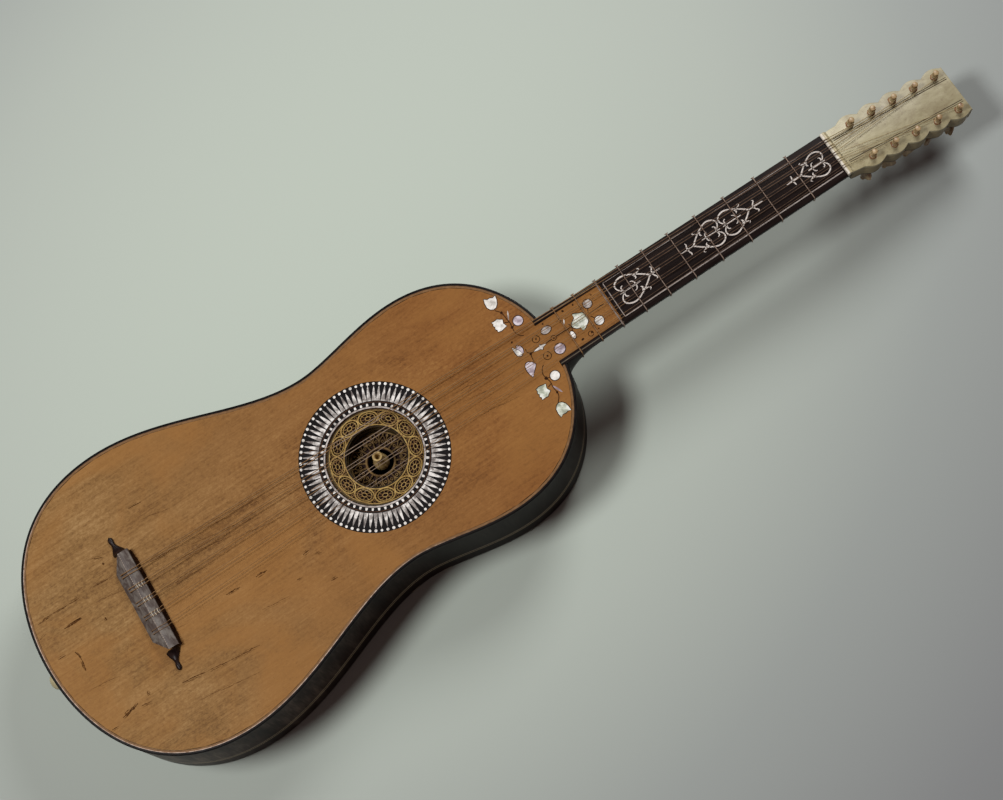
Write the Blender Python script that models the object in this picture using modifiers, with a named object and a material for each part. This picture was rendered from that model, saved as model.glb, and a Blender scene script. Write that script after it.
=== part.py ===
# Baroque guitar with five double courses, lying on its flat back.
# Metres, +Z up out of the belly, +Y from the tail to the peghead, +X to the treble side.
# The origin lies on the flat face of the back, straight below the centre of the rose.
import math

import bmesh
import bpy
import numpy as np
from mathutils import Matrix, Vector

# Air left between two pieces that meet
GAP = 0.0003

# Body outline, seen from the front, with the rose centre as datum
LOWER_BOUT_WIDTH = 0.2822
LOWER_BOUT_FROM_ROSE = 0.2057
WAIST_WIDTH = 0.1900
WAIST_FROM_ROSE = 0.0180
UPPER_BOUT_WIDTH = 0.2170
UPPER_BOUT_FROM_ROSE = 0.0783
TAIL_FROM_ROSE = 0.3311
NECK_JOINT_FROM_ROSE = 0.1800

# How full each bend of the outline is: lengths of the curve's handles
TAIL_BEND_LENGTH = 0.0663
LOWER_BOUT_BEND_LENGTH_TAIL = 0.0922
LOWER_BOUT_BEND_LENGTH_WAIST = 0.0692
WAIST_BEND_LENGTH_LOWER = 0.0578
WAIST_BEND_LENGTH_UPPER = 0.0263
UPPER_BOUT_BEND_LENGTH_WAIST = 0.0353
UPPER_BOUT_BEND_LENGTH_NECK = 0.0850
NECK_JOINT_BEND_LENGTH = 0.0070
OUTLINE_STEPS = 11

# Box of the body
BODY_DEPTH = 0.0860
BACK_THICKNESS = 0.0030
BELLY_THICKNESS = 0.0024
RIB_THICKNESS = 0.0022
BINDING_WIDTH = 0.0042
LINING_WIDTH = 0.0060
LINING_DEPTH = 0.0090
NECK_BLOCK_WIDTH = 0.0680
NECK_BLOCK_LENGTH = 0.0220
TAIL_BLOCK_WIDTH = 0.0560
TAIL_BLOCK_LENGTH = 0.0120

# Bars glued under the belly and on the back
BAR_WIDTH = 0.0060
BELLY_BAR_HEIGHT = 0.0130
BACK_BAR_HEIGHT = 0.0090
BAR_END_TAPER = 0.0200
BAR_END_HEIGHT = 0.0030
BELLY_BARS_FROM_ROSE = {
    "belly_bar_upper": 0.1150,
    "belly_bar_middle": 0.0560,
    "belly_bar_lower": -0.0620,
}
BACK_BARS_FROM_ROSE = {"back_bar_upper": 0.0850, "back_bar_lower": -0.1500}

# Soundhole, the inlaid ring round it and the sunk parchment rose
SOUNDHOLE_RADIUS = 0.0423
ROSETTE_RADIUS = 0.0660
ROSETTE_THICKNESS = 0.0010
ROSE_MARGIN = 0.0028
ROSE_OFF_CENTRE = 0.0012
PARCHMENT_THICKNESS = 0.0012
WELL_RADIUS = 0.0252
WELL_DEPTH = 0.0190
WHEEL_COUNT = 12
WHEEL_RADIUS = 0.0060
WHEEL_BAR = 0.0012
WHEEL_TURN = math.radians(11.0)
LOWER_WINDOW_COUNT = 16
PIT_RADIUS = 0.0122
PIT_DEPTH = 0.0030
TURRET_FOOT_RADIUS = 0.0070
TURRET_NECK_RADIUS = 0.0034
TURRET_RING_RADIUS = 0.0045
TURRET_BORE_RADIUS = 0.0025
TURRET_BELOW_BELLY = 0.0012

# Neck, tongue of the belly and fingerboard
NUT_FROM_ROSE = 0.4682
NUT_LENGTH = 0.0050
NUT_HEIGHT = 0.0026
NECK_WIDTH_AT_NUT = 0.0436
NECK_WIDTH_AT_BODY = 0.0472
NECK_DEPTH_AT_NUT = 0.0165
NECK_DEPTH_AT_HEEL = 0.0195
HEEL_DEPTH = 0.0780
HEEL_LENGTH = 0.0480
HEEL_SWEEP = 3.0
FINGERBOARD_FROM_ROSE = 0.2402
TONGUE_STRIP_WIDTH = 0.0045
NECK_SIDES = 12

# Tied gut frets: equal temperament on the length that the ties follow
FRET_COUNT = 10
FRET_SCALE = 0.6210
FRET_GUT = 0.0009

# Peghead
HEAD_ANGLE = math.radians(15.0)
HEAD_LENGTH = 0.1260
HEAD_THICKNESS = 0.0118
FACE_THICKNESS = 0.0024
HEAD_HALF_WIDTH = 0.0226
HEAD_SCALLOP = 0.0040
SCALLOP_STEPS = 5
FIRST_PEG = 0.0230
LAST_PEG_FROM_END = 0.0114
PEG_ROW_HALF_WIDTH = 0.0175
PEG_ROW_SPREAD = 0.0009
PEGS_PER_SIDE = 5
PEG_PITCH = (HEAD_LENGTH - LAST_PEG_FROM_END - FIRST_PEG) / (PEGS_PER_SIDE - 1)

# Pegs
PEG_CLEARANCE = 0.0003
PEG_TIP_RADIUS = 0.00205
PEG_TIP_LENGTH = 0.0088
PEG_BUTTON_RADIUS = 0.0025
PEG_FRONT_RADIUS = 0.0029
PEG_BACK_RADIUS = 0.0036
PEG_COLLAR_RADIUS = 0.0052
PEG_COLLAR_LENGTH = 0.0022
PEG_STEM_RADIUS = 0.0027
PEG_STEM_LENGTH = 0.0050
PEG_HEAD_LENGTH = 0.0155
PEG_HEAD_WIDTH = 0.0170
PEG_HEAD_THICKNESS = 0.0058
PEG_BEAD_RADIUS = 0.0024
PEG_SIDES = 10
PEG_TURN_STEP = math.radians(38.0)

# Bridge
BRIDGE_FROM_ROSE = -0.2305
BRIDGE_OFF_CENTRE = -0.0028
BRIDGE_SKEW = math.radians(-2.1)
BRIDGE_HALF_LENGTH = 0.0480
BRIDGE_BACK_HALF_LENGTH = 0.0338
BRIDGE_FRONT = 0.0098
BRIDGE_BACK = 0.0100
BRIDGE_HEIGHT = 0.0085
BRIDGE_TOP_LENGTH = 0.0115
BRIDGE_BACK_HEIGHT = 0.0022
FINIAL_REACH = 0.0664
FINIAL_ROOT_OFF_CENTRE = 0.0014
FINIAL_TIP_OFF_CENTRE = -0.0007
FINIAL_ROOT_WIDTH = 0.0104
FINIAL_WAIST_WIDTH = 0.0030
FINIAL_TIP_WIDTH = 0.0044
FINIAL_THICKNESS = 0.0032

# Strings, course 1 on the treble side, the pair's bass member named a
STRING_DIAMETERS = {1: 0.00042, 2: 0.00050, 3: 0.00058, 4: 0.00068, 5: 0.00078}
COURSE_SPACING_AT_NUT = 0.0069
COURSE_SPACING_AT_BRIDGE = 0.0140
COURSES_OFF_CENTRE = -0.0036
PAIR_SPACING_AT_NUT = 0.0022
PAIR_SPACING_AT_BRIDGE = 0.0030
STRING_HEIGHT_AT_BRIDGE = 0.0058
STRING_HOLE_CLEARANCE = 0.0003
WINDING_TURNS = 2.25
WINDING_STEPS = 12
WINDING_AIR = 0.00060
TIE_OFFSET = 0.0014

# End button
BUTTON_HEIGHT = 0.0450
BUTTON_RADIUS = 0.0075
BUTTON_LENGTH = 0.0110
BUTTON_STEM_RADIUS = 0.0035
BUTTON_STEM_LENGTH = 0.0100

# Heights that follow from the sizes above
BELLY_TOP = BODY_DEPTH
BELLY_UNDERSIDE = BELLY_TOP - BELLY_THICKNESS
NECK_TOP = BELLY_UNDERSIDE - GAP
BACK_TOP = BACK_THICKNESS
RIB_BOTTOM = BACK_TOP + GAP
RIB_TOP = BELLY_UNDERSIDE - GAP
HEAD_FROM_ROSE = NUT_FROM_ROSE + NUT_LENGTH + 0.0008
BACK_END_OF_HEAD = FACE_THICKNESS + GAP + HEAD_THICKNESS

COLOURS = {
    "spruce": ((0.36, 0.19, 0.07), 0.55),
    "ebony": ((0.030, 0.024, 0.021), 0.35),
    "pine": ((0.50, 0.36, 0.20), 0.75),
    "parchment": ((0.42, 0.28, 0.10), 0.60),
    "inlay": ((0.62, 0.60, 0.56), 0.35),
    "ivory": ((0.62, 0.56, 0.40), 0.40),
    "gut": ((0.70, 0.60, 0.42), 0.45),
    "peg_wood": ((0.50, 0.40, 0.26), 0.50),
}


# Scene set-up

def clear_scene():
    for thing in list(bpy.data.objects):
        bpy.data.objects.remove(thing, do_unlink=True)


def new_collection(name):
    collection = bpy.data.collections.new(name)
    bpy.context.scene.collection.children.link(collection)
    return collection


clear_scene()
PARTS = new_collection("baroque_guitar")
CUTTERS = new_collection("cutters")


def material(name):
    found = bpy.data.materials.get(name)
    if found:
        return found
    colour, roughness = COLOURS[name]
    made = bpy.data.materials.new(name)
    made.use_nodes = True
    shader = made.node_tree.nodes["Principled BSDF"]
    shader.inputs["Base Color"].default_value = (*colour, 1.0)
    shader.inputs["Roughness"].default_value = roughness
    shader.inputs["Metallic"].default_value = 0.0
    return made


# Modelling helpers

def add_part(name, data, finish, smooth=False):
    part = bpy.data.objects.new(name, data)
    data.materials.append(material(finish))
    PARTS.objects.link(part)
    if smooth and isinstance(data, bpy.types.Mesh):
        data.shade_smooth()
        data.set_sharp_from_angle(angle=math.radians(35.0))
    return part


def add_cutter(name, data):
    cutter = bpy.data.objects.new(name, data)
    CUTTERS.objects.link(cutter)
    cutter.hide_render = True
    cutter.display_type = "WIRE"
    return cutter


def flat_curve(name, outlines, thickness):
    # A filled flat outline whose later loops are its holes, centred on its own plane
    curve = bpy.data.curves.new(name, "CURVE")
    curve.dimensions = "2D"
    curve.fill_mode = "BOTH"
    curve.extrude = thickness / 2
    for outline in outlines:
        spline = curve.splines.new("POLY")
        spline.points.add(len(outline) - 1)
        for point, (x, y) in zip(spline.points, outline):
            point.co = (x, y, 0.0, 1.0)
        spline.use_cyclic_u = True
    return curve


def curve_to_mesh(name, curve):
    # The curve's evaluated mesh with its loose caps welded on
    holder = bpy.data.objects.new(name + "_curve", curve)
    bpy.context.scene.collection.objects.link(holder)
    depsgraph = bpy.context.evaluated_depsgraph_get()
    mesh = bpy.data.meshes.new_from_object(holder.evaluated_get(depsgraph))
    bpy.data.objects.remove(holder, do_unlink=True)
    work = bmesh.new()
    work.from_mesh(mesh)
    bmesh.ops.remove_doubles(work, verts=work.verts, dist=0.000001)
    work.to_mesh(mesh)
    work.free()
    mesh.name = name
    return mesh


def plate(name, outlines, bottom, thickness, finish):
    # A flat piece that lies between two heights
    mesh = curve_to_mesh(name, flat_curve(name, outlines, thickness))
    part = add_part(name, mesh, finish)
    part.location.z = bottom + thickness / 2
    return part


def tube(name, points, radius, finish, closed=False):
    curve = bpy.data.curves.new(name, "CURVE")
    curve.dimensions = "3D"
    curve.bevel_depth = radius
    curve.bevel_resolution = 1
    curve.use_fill_caps = not closed
    spline = curve.splines.new("POLY")
    spline.points.add(len(points) - 1)
    for point, place in zip(spline.points, points):
        point.co = (*place, 1.0)
    spline.use_cyclic_u = closed
    return add_part(name, curve, finish)


def loft_mesh(name, sections):
    # A skin over closed sections of equally many points, with both ends filled
    work = bmesh.new()
    rings = [[work.verts.new(point) for point in section] for section in sections]
    count = len(rings[0])
    for near, far in zip(rings, rings[1:]):
        for i in range(count):
            j = (i + 1) % count
            work.faces.new((near[i], near[j], far[j], far[i]))
    work.faces.new(list(reversed(rings[0])))
    work.faces.new(rings[-1])
    bmesh.ops.recalc_face_normals(work, faces=work.faces)
    mesh = bpy.data.meshes.new(name)
    work.to_mesh(mesh)
    work.free()
    return mesh


def turned(name, profile, steps, finish):
    # A turned piece: its profile runs down the outer side at +X, from axis to axis
    mesh = bpy.data.meshes.new(name)
    points = [(radius, 0.0, height) for radius, height in profile]
    mesh.from_pydata(points, [(i, i + 1) for i in range(len(points) - 1)], [])
    part = add_part(name, mesh, finish)
    screw = part.modifiers.new("turn", "SCREW")
    screw.steps = steps
    screw.render_steps = steps
    screw.use_merge_vertices = True
    screw.merge_threshold = 0.00001
    return part


def cut(part, cutter):
    modifier = part.modifiers.new("cut_" + cutter.name, "BOOLEAN")
    modifier.operation = "DIFFERENCE"
    modifier.solver = "EXACT"
    modifier.object = cutter


def circle(radius, count, centre=(0.0, 0.0), start=0.0):
    return [
        (
            centre[0] + radius * math.cos(start + 2 * math.pi * i / count),
            centre[1] + radius * math.sin(start + 2 * math.pi * i / count),
        )
        for i in range(count)
    ]


def mirrored(points):
    return [(-x, y) for x, y in reversed(points)]


# Body outline

def bend(start, leave, arrive, end, steps):
    # One cubic stretch, without its last point
    stretch = []
    for i in range(steps):
        t = i / steps
        s = 1 - t
        stretch.append(
            tuple(
                s ** 3 * a + 3 * s * s * t * b + 3 * s * t * t * c + t ** 3 * d
                for a, b, c, d in zip(start, leave, arrive, end)
            )
        )
    return stretch


def treble_outline(steps=OUTLINE_STEPS):
    # From the tail on the centre line up the treble side to the neck joint
    lower = (LOWER_BOUT_WIDTH / 2, -LOWER_BOUT_FROM_ROSE)
    waist = (WAIST_WIDTH / 2, -WAIST_FROM_ROSE)
    upper = (UPPER_BOUT_WIDTH / 2, UPPER_BOUT_FROM_ROSE)
    tail = (0.0, -TAIL_FROM_ROSE)
    joint = (NECK_WIDTH_AT_BODY / 2 + GAP, NECK_JOINT_FROM_ROSE)
    points = bend(
        tail,
        (TAIL_BEND_LENGTH, tail[1]),
        (lower[0], lower[1] - LOWER_BOUT_BEND_LENGTH_TAIL),
        lower,
        steps,
    )
    points += bend(
        lower,
        (lower[0], lower[1] + LOWER_BOUT_BEND_LENGTH_WAIST),
        (waist[0], waist[1] - WAIST_BEND_LENGTH_LOWER),
        waist,
        steps,
    )
    points += bend(
        waist,
        (waist[0], waist[1] + WAIST_BEND_LENGTH_UPPER),
        (upper[0], upper[1] - UPPER_BOUT_BEND_LENGTH_WAIST),
        upper,
        steps // 2,
    )
    points += bend(
        upper,
        (upper[0], upper[1] + UPPER_BOUT_BEND_LENGTH_NECK),
        (joint[0] + NECK_JOINT_BEND_LENGTH, joint[1]),
        joint,
        steps,
    )
    return points + [joint]


def inset(points, distance):
    # The same stretch moved square to itself, towards the inside of the body
    moved = []
    last = len(points) - 1
    for i, (x, y) in enumerate(points):
        before = Vector(points[max(i - 1, 0)])
        after = Vector(points[min(i + 1, last)])
        along = (after - before).normalized()
        if i == 0:
            along = Vector((1.0, 0.0))
        if i == last:
            along = Vector((-1.0, 0.0))
        moved.append((x - along.y * distance, y + along.x * distance))
    return moved


def half_width_at(distance_from_rose, inset_by):
    line = inset(treble_outline(), inset_by)
    rising = sorted((y, x) for x, y in line)
    ys = [y for y, x in rising]
    xs = [x for y, x in rising]
    return float(np.interp(distance_from_rose, ys, xs))


def band(outer_inset, inner_inset, keep=lambda point: True):
    # The treble half of a strip that follows the outline
    line = treble_outline()
    outer = [p for p, q in zip(inset(line, outer_inset), line) if keep(q)]
    inner = [p for p, q in zip(inset(line, inner_inset), line) if keep(q)]
    return outer, inner


# Neck sizes along the instrument

def neck_half_width(y):
    share = (y - NECK_JOINT_FROM_ROSE) / (HEAD_FROM_ROSE - NECK_JOINT_FROM_ROSE)
    return (NECK_WIDTH_AT_BODY + (NECK_WIDTH_AT_NUT - NECK_WIDTH_AT_BODY) * share) / 2


def neck_depth(y):
    heel_start = NECK_JOINT_FROM_ROSE + HEEL_LENGTH
    share = (y - heel_start) / (HEAD_FROM_ROSE - heel_start)
    if share >= 0:
        return NECK_DEPTH_AT_HEEL + (NECK_DEPTH_AT_NUT - NECK_DEPTH_AT_HEEL) * share
    sweep = ((heel_start - y) / HEEL_LENGTH) ** HEEL_SWEEP
    return NECK_DEPTH_AT_HEEL + (HEEL_DEPTH - NECK_DEPTH_AT_HEEL) * sweep


def neck_round(y, out=0.0):
    # The rounded back of the neck at y, from the treble edge down and up to the bass edge
    half = neck_half_width(y)
    depth = neck_depth(y)
    side = [
        (half * math.cos(a) ** 0.75 if math.cos(a) > 0 else 0.0, -depth * math.sin(a) ** 1.1)
        for a in (math.pi / 2 * i / (NECK_SIDES // 2) for i in range(NECK_SIDES // 2 + 1))
    ]
    line = side + [(-x, z) for x, z in reversed(side[:-1])]
    moved = []
    last = len(line) - 1
    for i, (x, z) in enumerate(line):
        before = Vector(line[max(i - 1, 0)])
        after = Vector(line[min(i + 1, last)])
        along = (after - before).normalized()
        if i in (0, last):
            along = Vector((0.0, -1.0 if i == 0 else 1.0))
        moved.append((x - along.y * out, NECK_TOP + z + along.x * out))
    return moved


# Body

def make_back():
    right = inset(treble_outline(), GAP)
    outline = right + mirrored(right)[:-1]
    return plate("back", [outline], 0.0, BACK_THICKNESS, "ebony")


def make_ribs():
    outer, inner = band(GAP, GAP + RIB_THICKNESS)
    outer[0] = (GAP / 2, outer[0][1])
    inner[0] = (GAP / 2, inner[0][1])
    outline = outer + list(reversed(inner))
    height = RIB_TOP - RIB_BOTTOM
    treble = plate("rib_treble", [outline], RIB_BOTTOM, height, "ebony")
    bass = plate("rib_bass", [mirrored(outline)], RIB_BOTTOM, height, "ebony")
    return treble, bass


def make_binding():
    outer, inner = band(0.0, BINDING_WIDTH)
    outline = mirrored(outer)[:-1] + outer + list(reversed(inner)) + list(reversed(mirrored(inner)))[1:]
    return plate("belly_binding", [outline], BELLY_UNDERSIDE, BELLY_THICKNESS, "ebony")


def make_belly():
    edge = inset(treble_outline(), BINDING_WIDTH + GAP)
    neck_side = neck_half_width(NECK_JOINT_FROM_ROSE)
    shoulder = NECK_JOINT_FROM_ROSE - BINDING_WIDTH - 2 * GAP
    edge = [p for p in edge if p[0] > neck_side + 2 * GAP or p[1] < 0]
    tongue_end = FINGERBOARD_FROM_ROSE - GAP
    strip = TONGUE_STRIP_WIDTH + GAP
    right = edge + [
        (neck_side - strip, shoulder),
        (neck_half_width(tongue_end) - strip, tongue_end),
    ]
    outline = right + mirrored(right)[:-1]
    hole = circle(SOUNDHOLE_RADIUS, 48)
    belly = plate("belly", [outline, hole], BELLY_UNDERSIDE, BELLY_THICKNESS, "spruce")
    rebate_depth = ROSETTE_THICKNESS + GAP
    rebate = flat_curve("rosette_rebate", [circle(ROSETTE_RADIUS + GAP, 48)], 2 * rebate_depth)
    cutter = add_cutter("rosette_rebate", curve_to_mesh("rosette_rebate", rebate))
    cutter.location.z = BELLY_TOP
    cut(belly, cutter)
    return belly


def make_linings():
    start = RIB_THICKNESS + 2 * GAP
    clear_of_neck = NECK_BLOCK_WIDTH / 2 + LINING_WIDTH + RIB_THICKNESS
    clear_of_tail = TAIL_BLOCK_WIDTH / 2 + LINING_WIDTH

    def keep(point):
        limit = clear_of_neck if point[1] > 0 else clear_of_tail
        return point[0] > limit

    outer, inner = band(start, start + LINING_WIDTH, keep)
    outline = outer + list(reversed(inner))
    bottom = BELLY_UNDERSIDE - GAP - LINING_DEPTH
    plate("belly_lining_treble", [outline], bottom, LINING_DEPTH, "pine")
    plate("belly_lining_bass", [mirrored(outline)], bottom, LINING_DEPTH, "pine")


def inner_face(y_side, half_width):
    # The inside of the ribs between the centre line and a half width, at the tail or the neck
    line = inset(treble_outline(), RIB_THICKNESS + 2 * GAP)
    end = [p for p in line if (p[1] > 0) == (y_side > 0)]
    near = [p for p in end if p[0] < half_width]
    beyond = min((p for p in end if p[0] >= half_width), key=lambda p: p[0])
    previous = max(near, key=lambda p: p[0])
    share = (half_width - previous[0]) / (beyond[0] - previous[0])
    corner = (half_width, previous[1] + (beyond[1] - previous[1]) * share)
    return sorted(near, key=lambda p: p[0]) + [corner]


def make_blocks():
    height = BELLY_UNDERSIDE - GAP - RIB_BOTTOM
    half = TAIL_BLOCK_WIDTH / 2
    face = inner_face(-1, half)
    inside = -TAIL_FROM_ROSE + RIB_THICKNESS + 2 * GAP + TAIL_BLOCK_LENGTH
    right = face + [(half, inside)]
    tail = plate("tail_block", [right + mirrored(right)[:-1]], RIB_BOTTOM, height, "pine")
    half = NECK_BLOCK_WIDTH / 2
    front = neck_root_end() - GAP
    outline = [(-half, front - NECK_BLOCK_LENGTH), (half, front - NECK_BLOCK_LENGTH), (half, front), (-half, front)]
    plate("neck_block", [outline], RIB_BOTTOM, height, "pine")
    return tail


def neck_root_end():
    # How far into the body the foot of the neck reaches: to the block behind the ribs
    corner = inner_face(1, NECK_BLOCK_WIDTH / 2)[-1]
    return corner[1] - GAP


def make_bar(name, y, bottom, height, flat_side_up):
    inside = RIB_THICKNESS + LINING_WIDTH + 4 * GAP
    half = min(half_width_at(y + shift, inside) for shift in (-BAR_WIDTH / 2, 0.0, BAR_WIDTH / 2))
    if flat_side_up:
        profile = [
            (-half, height),
            (-half, height - BAR_END_HEIGHT),
            (-half + BAR_END_TAPER, 0.0),
            (half - BAR_END_TAPER, 0.0),
            (half, height - BAR_END_HEIGHT),
            (half, height),
        ]
    else:
        profile = [
            (-half, 0.0),
            (half, 0.0),
            (half, BAR_END_HEIGHT),
            (half - BAR_END_TAPER, height),
            (-half + BAR_END_TAPER, height),
            (-half, BAR_END_HEIGHT),
        ]
    bar = add_part(name, curve_to_mesh(name, flat_curve(name, [profile], BAR_WIDTH)), "pine")
    bar.rotation_euler.x = math.pi / 2
    bar.location = (0.0, y, bottom)


def make_bars():
    for name, y in BELLY_BARS_FROM_ROSE.items():
        make_bar(name, y, BELLY_UNDERSIDE - GAP - BELLY_BAR_HEIGHT, BELLY_BAR_HEIGHT, True)
    for name, y in BACK_BARS_FROM_ROSE.items():
        make_bar(name, y, BACK_TOP + GAP, BACK_BAR_HEIGHT, False)


def make_end_button(pieces_round_stem):
    # A turned knob whose stem passes through the ribs into the tail block
    stem_end = RIB_THICKNESS + 3 * GAP + BUTTON_STEM_LENGTH
    waist = BUTTON_STEM_RADIUS + 0.0008
    profile = [
        (0.0, BUTTON_LENGTH),
        (0.45 * BUTTON_RADIUS, BUTTON_LENGTH * 0.97),
        (0.85 * BUTTON_RADIUS, BUTTON_LENGTH * 0.80),
        (BUTTON_RADIUS, BUTTON_LENGTH * 0.55),
        (0.80 * BUTTON_RADIUS, BUTTON_LENGTH * 0.36),
        (waist, BUTTON_LENGTH * 0.24),
        (waist * 1.35, 0.0),
        (BUTTON_STEM_RADIUS, 0.0),
        (BUTTON_STEM_RADIUS, -stem_end),
        (0.0, -stem_end),
    ]
    button = turned("end_button", profile, 16, "ivory")
    button.rotation_euler.x = math.pi / 2
    button.location = (0.0, -TAIL_FROM_ROSE, BUTTON_HEIGHT)
    depth = 2 * (stem_end + GAP)
    hole = bmesh.new()
    radius = (BUTTON_STEM_RADIUS + GAP) / math.cos(math.pi / 16)
    bmesh.ops.create_cone(hole, cap_ends=True, segments=16, radius1=radius, radius2=radius, depth=depth)
    mesh = bpy.data.meshes.new("button_hole")
    hole.to_mesh(mesh)
    hole.free()
    cutter = add_cutter("button_hole", mesh)
    cutter.rotation_euler.x = math.pi / 2
    cutter.location = button.location
    for piece in pieces_round_stem:
        cut(piece, cutter)


# Rosette ring and rose

def make_rosette():
    ring = [circle(ROSETTE_RADIUS, 64), circle(SOUNDHOLE_RADIUS + GAP, 48)]
    plate("rosette_ring", ring, BELLY_TOP - ROSETTE_THICKNESS, ROSETTE_THICKNESS, "inlay")


def half_moon(centre, radius, bar, angle, side, steps):
    # Half a wheel's opening, beside the bar that crosses it
    spread = math.acos(bar / 2 / radius)
    points = []
    for i in range(steps + 1):
        a = angle + side * math.pi / 2 - spread + 2 * spread * i / steps
        points.append((centre[0] + radius * math.cos(a), centre[1] + radius * math.sin(a)))
    return points


def make_rose():
    # Upper tier: a ring of wheels, each crossed by a bar, between two plain borders
    rim = SOUNDHOLE_RADIUS + ROSE_MARGIN
    ring_radius = (SOUNDHOLE_RADIUS + WELL_RADIUS) / 2 + PARCHMENT_THICKNESS / 2
    openings = []
    for i in range(WHEEL_COUNT):
        angle = WHEEL_TURN + 2 * math.pi * i / WHEEL_COUNT
        centre = (ring_radius * math.cos(angle), ring_radius * math.sin(angle))
        openings.append(half_moon(centre, WHEEL_RADIUS, WHEEL_BAR, angle, 1, 5))
        openings.append(half_moon(centre, WHEEL_RADIUS, WHEEL_BAR, angle, -1, 5))
    tier_bottom = BELLY_UNDERSIDE - GAP - PARCHMENT_THICKNESS
    outline = [circle(rim, 48), circle(WELL_RADIUS, 36)] + openings
    upper = plate("rose_upper_tier", outline, tier_bottom, PARCHMENT_THICKNESS, "parchment")

    # The well: a parchment wall that hangs inside the upper tier's edge
    wall_outer = WELL_RADIUS - GAP
    wall_inner = wall_outer - PARCHMENT_THICKNESS
    wall_top = BELLY_UNDERSIDE - GAP
    wall = [circle(wall_outer, 36), circle(wall_inner, 36)]
    well = plate("rose_well", wall, wall_top - WELL_DEPTH, WELL_DEPTH, "parchment")

    # Lower tier: a floor with a ring of windows round an open middle
    floor_top = wall_top - WELL_DEPTH - GAP
    windows = []
    window_ring = (wall_inner + PIT_RADIUS) / 2
    for i in range(LOWER_WINDOW_COUNT):
        angle = 2 * math.pi * (i + 0.5) / LOWER_WINDOW_COUNT
        centre = (window_ring * math.cos(angle), window_ring * math.sin(angle))
        windows.append(circle(0.14 * window_ring, 6, centre, angle))
    floor = [circle(wall_outer, 36), circle(PIT_RADIUS - PARCHMENT_THICKNESS, 24)] + windows
    floor_bottom = floor_top - PARCHMENT_THICKNESS
    lower = plate("rose_lower_tier", floor, floor_bottom, PARCHMENT_THICKNESS, "parchment")

    # Turret: a flaring stem with an open top, standing in a round pit under the lower tier
    top = BELLY_TOP - TURRET_BELOW_BELLY
    rim = floor_bottom - GAP
    foot = rim - PIT_DEPTH
    rise = top - foot
    ring = TURRET_RING_RADIUS
    profile = [
        (0.0, top - 0.30 * rise),
        (TURRET_BORE_RADIUS, top - 0.28 * rise),
        (TURRET_BORE_RADIUS, top),
        (ring, top),
        (ring, top - 0.07 * rise),
        (TURRET_NECK_RADIUS, top - 0.10 * rise),
        (TURRET_NECK_RADIUS + 0.06 * ring, top - 0.32 * rise),
        (0.70 * TURRET_FOOT_RADIUS, top - 0.54 * rise),
        (0.93 * TURRET_FOOT_RADIUS, top - 0.76 * rise),
        (TURRET_FOOT_RADIUS, top - 0.86 * rise),
        (TURRET_FOOT_RADIUS, foot),
        (PIT_RADIUS - PARCHMENT_THICKNESS, foot),
        (PIT_RADIUS - PARCHMENT_THICKNESS, rim),
        (PIT_RADIUS, rim),
        (PIT_RADIUS, foot - PARCHMENT_THICKNESS),
        (0.0, foot - PARCHMENT_THICKNESS),
    ]
    turret = turned("rose_turret", profile, 16, "parchment")
    for tier in (upper, well, lower, turret):
        tier.location.y = ROSE_OFF_CENTRE


# Neck, fingerboard and nut

def make_neck():
    root_end = neck_root_end()
    joint = NECK_JOINT_FROM_ROSE
    half = neck_half_width(joint)
    sections = []
    for y in (root_end, joint + GAP):
        # Square foot between the ribs, with as many points as the rounded neck
        steps = NECK_SIDES // 2
        depth = NECK_TOP - RIB_BOTTOM
        side = [(half, NECK_TOP - depth * i / (steps - 1)) for i in range(steps)]
        line = side + [(0.0, NECK_TOP - depth)] + [(-x, z) for x, z in reversed(side)]
        sections.append([(x, y, z) for x, z in line])
    stations = [joint + 2 * GAP]
    heel_end = joint + HEEL_LENGTH
    stations += [joint + HEEL_LENGTH * share for share in (0.08, 0.18, 0.30, 0.44, 0.60, 0.80)]
    stations += [heel_end, (heel_end + HEAD_FROM_ROSE) / 2]
    for y in stations:
        sections.append([(x, y, z) for x, z in neck_round(y)])
    # The last section leans back to lie square to the peghead
    lean = math.tan(HEAD_ANGLE)
    last = neck_round(HEAD_FROM_ROSE)
    sections.append([(x, HEAD_FROM_ROSE - (BELLY_TOP - z) * lean, z) for x, z in last])
    add_part("neck", loft_mesh("neck", sections), "ebony", smooth=True)


def make_fingerboard():
    start = FINGERBOARD_FROM_ROSE
    end = NUT_FROM_ROSE - GAP
    outline = [
        (neck_half_width(start), start),
        (neck_half_width(end), end),
        (-neck_half_width(end), end),
        (-neck_half_width(start), start),
    ]
    plate("fingerboard", [outline], BELLY_UNDERSIDE, BELLY_THICKNESS, "ebony")


def make_tongue_strips():
    start = NECK_JOINT_FROM_ROSE - BINDING_WIDTH
    end = FINGERBOARD_FROM_ROSE - GAP
    outline = [
        (neck_half_width(NECK_JOINT_FROM_ROSE), start),
        (neck_half_width(end), end),
        (neck_half_width(end) - TONGUE_STRIP_WIDTH, end),
        (neck_half_width(NECK_JOINT_FROM_ROSE) - TONGUE_STRIP_WIDTH, start),
    ]
    plate("tongue_strip_treble", [outline], BELLY_UNDERSIDE, BELLY_THICKNESS, "ebony")
    plate("tongue_strip_bass", [mirrored(outline)], BELLY_UNDERSIDE, BELLY_THICKNESS, "ebony")


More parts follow.
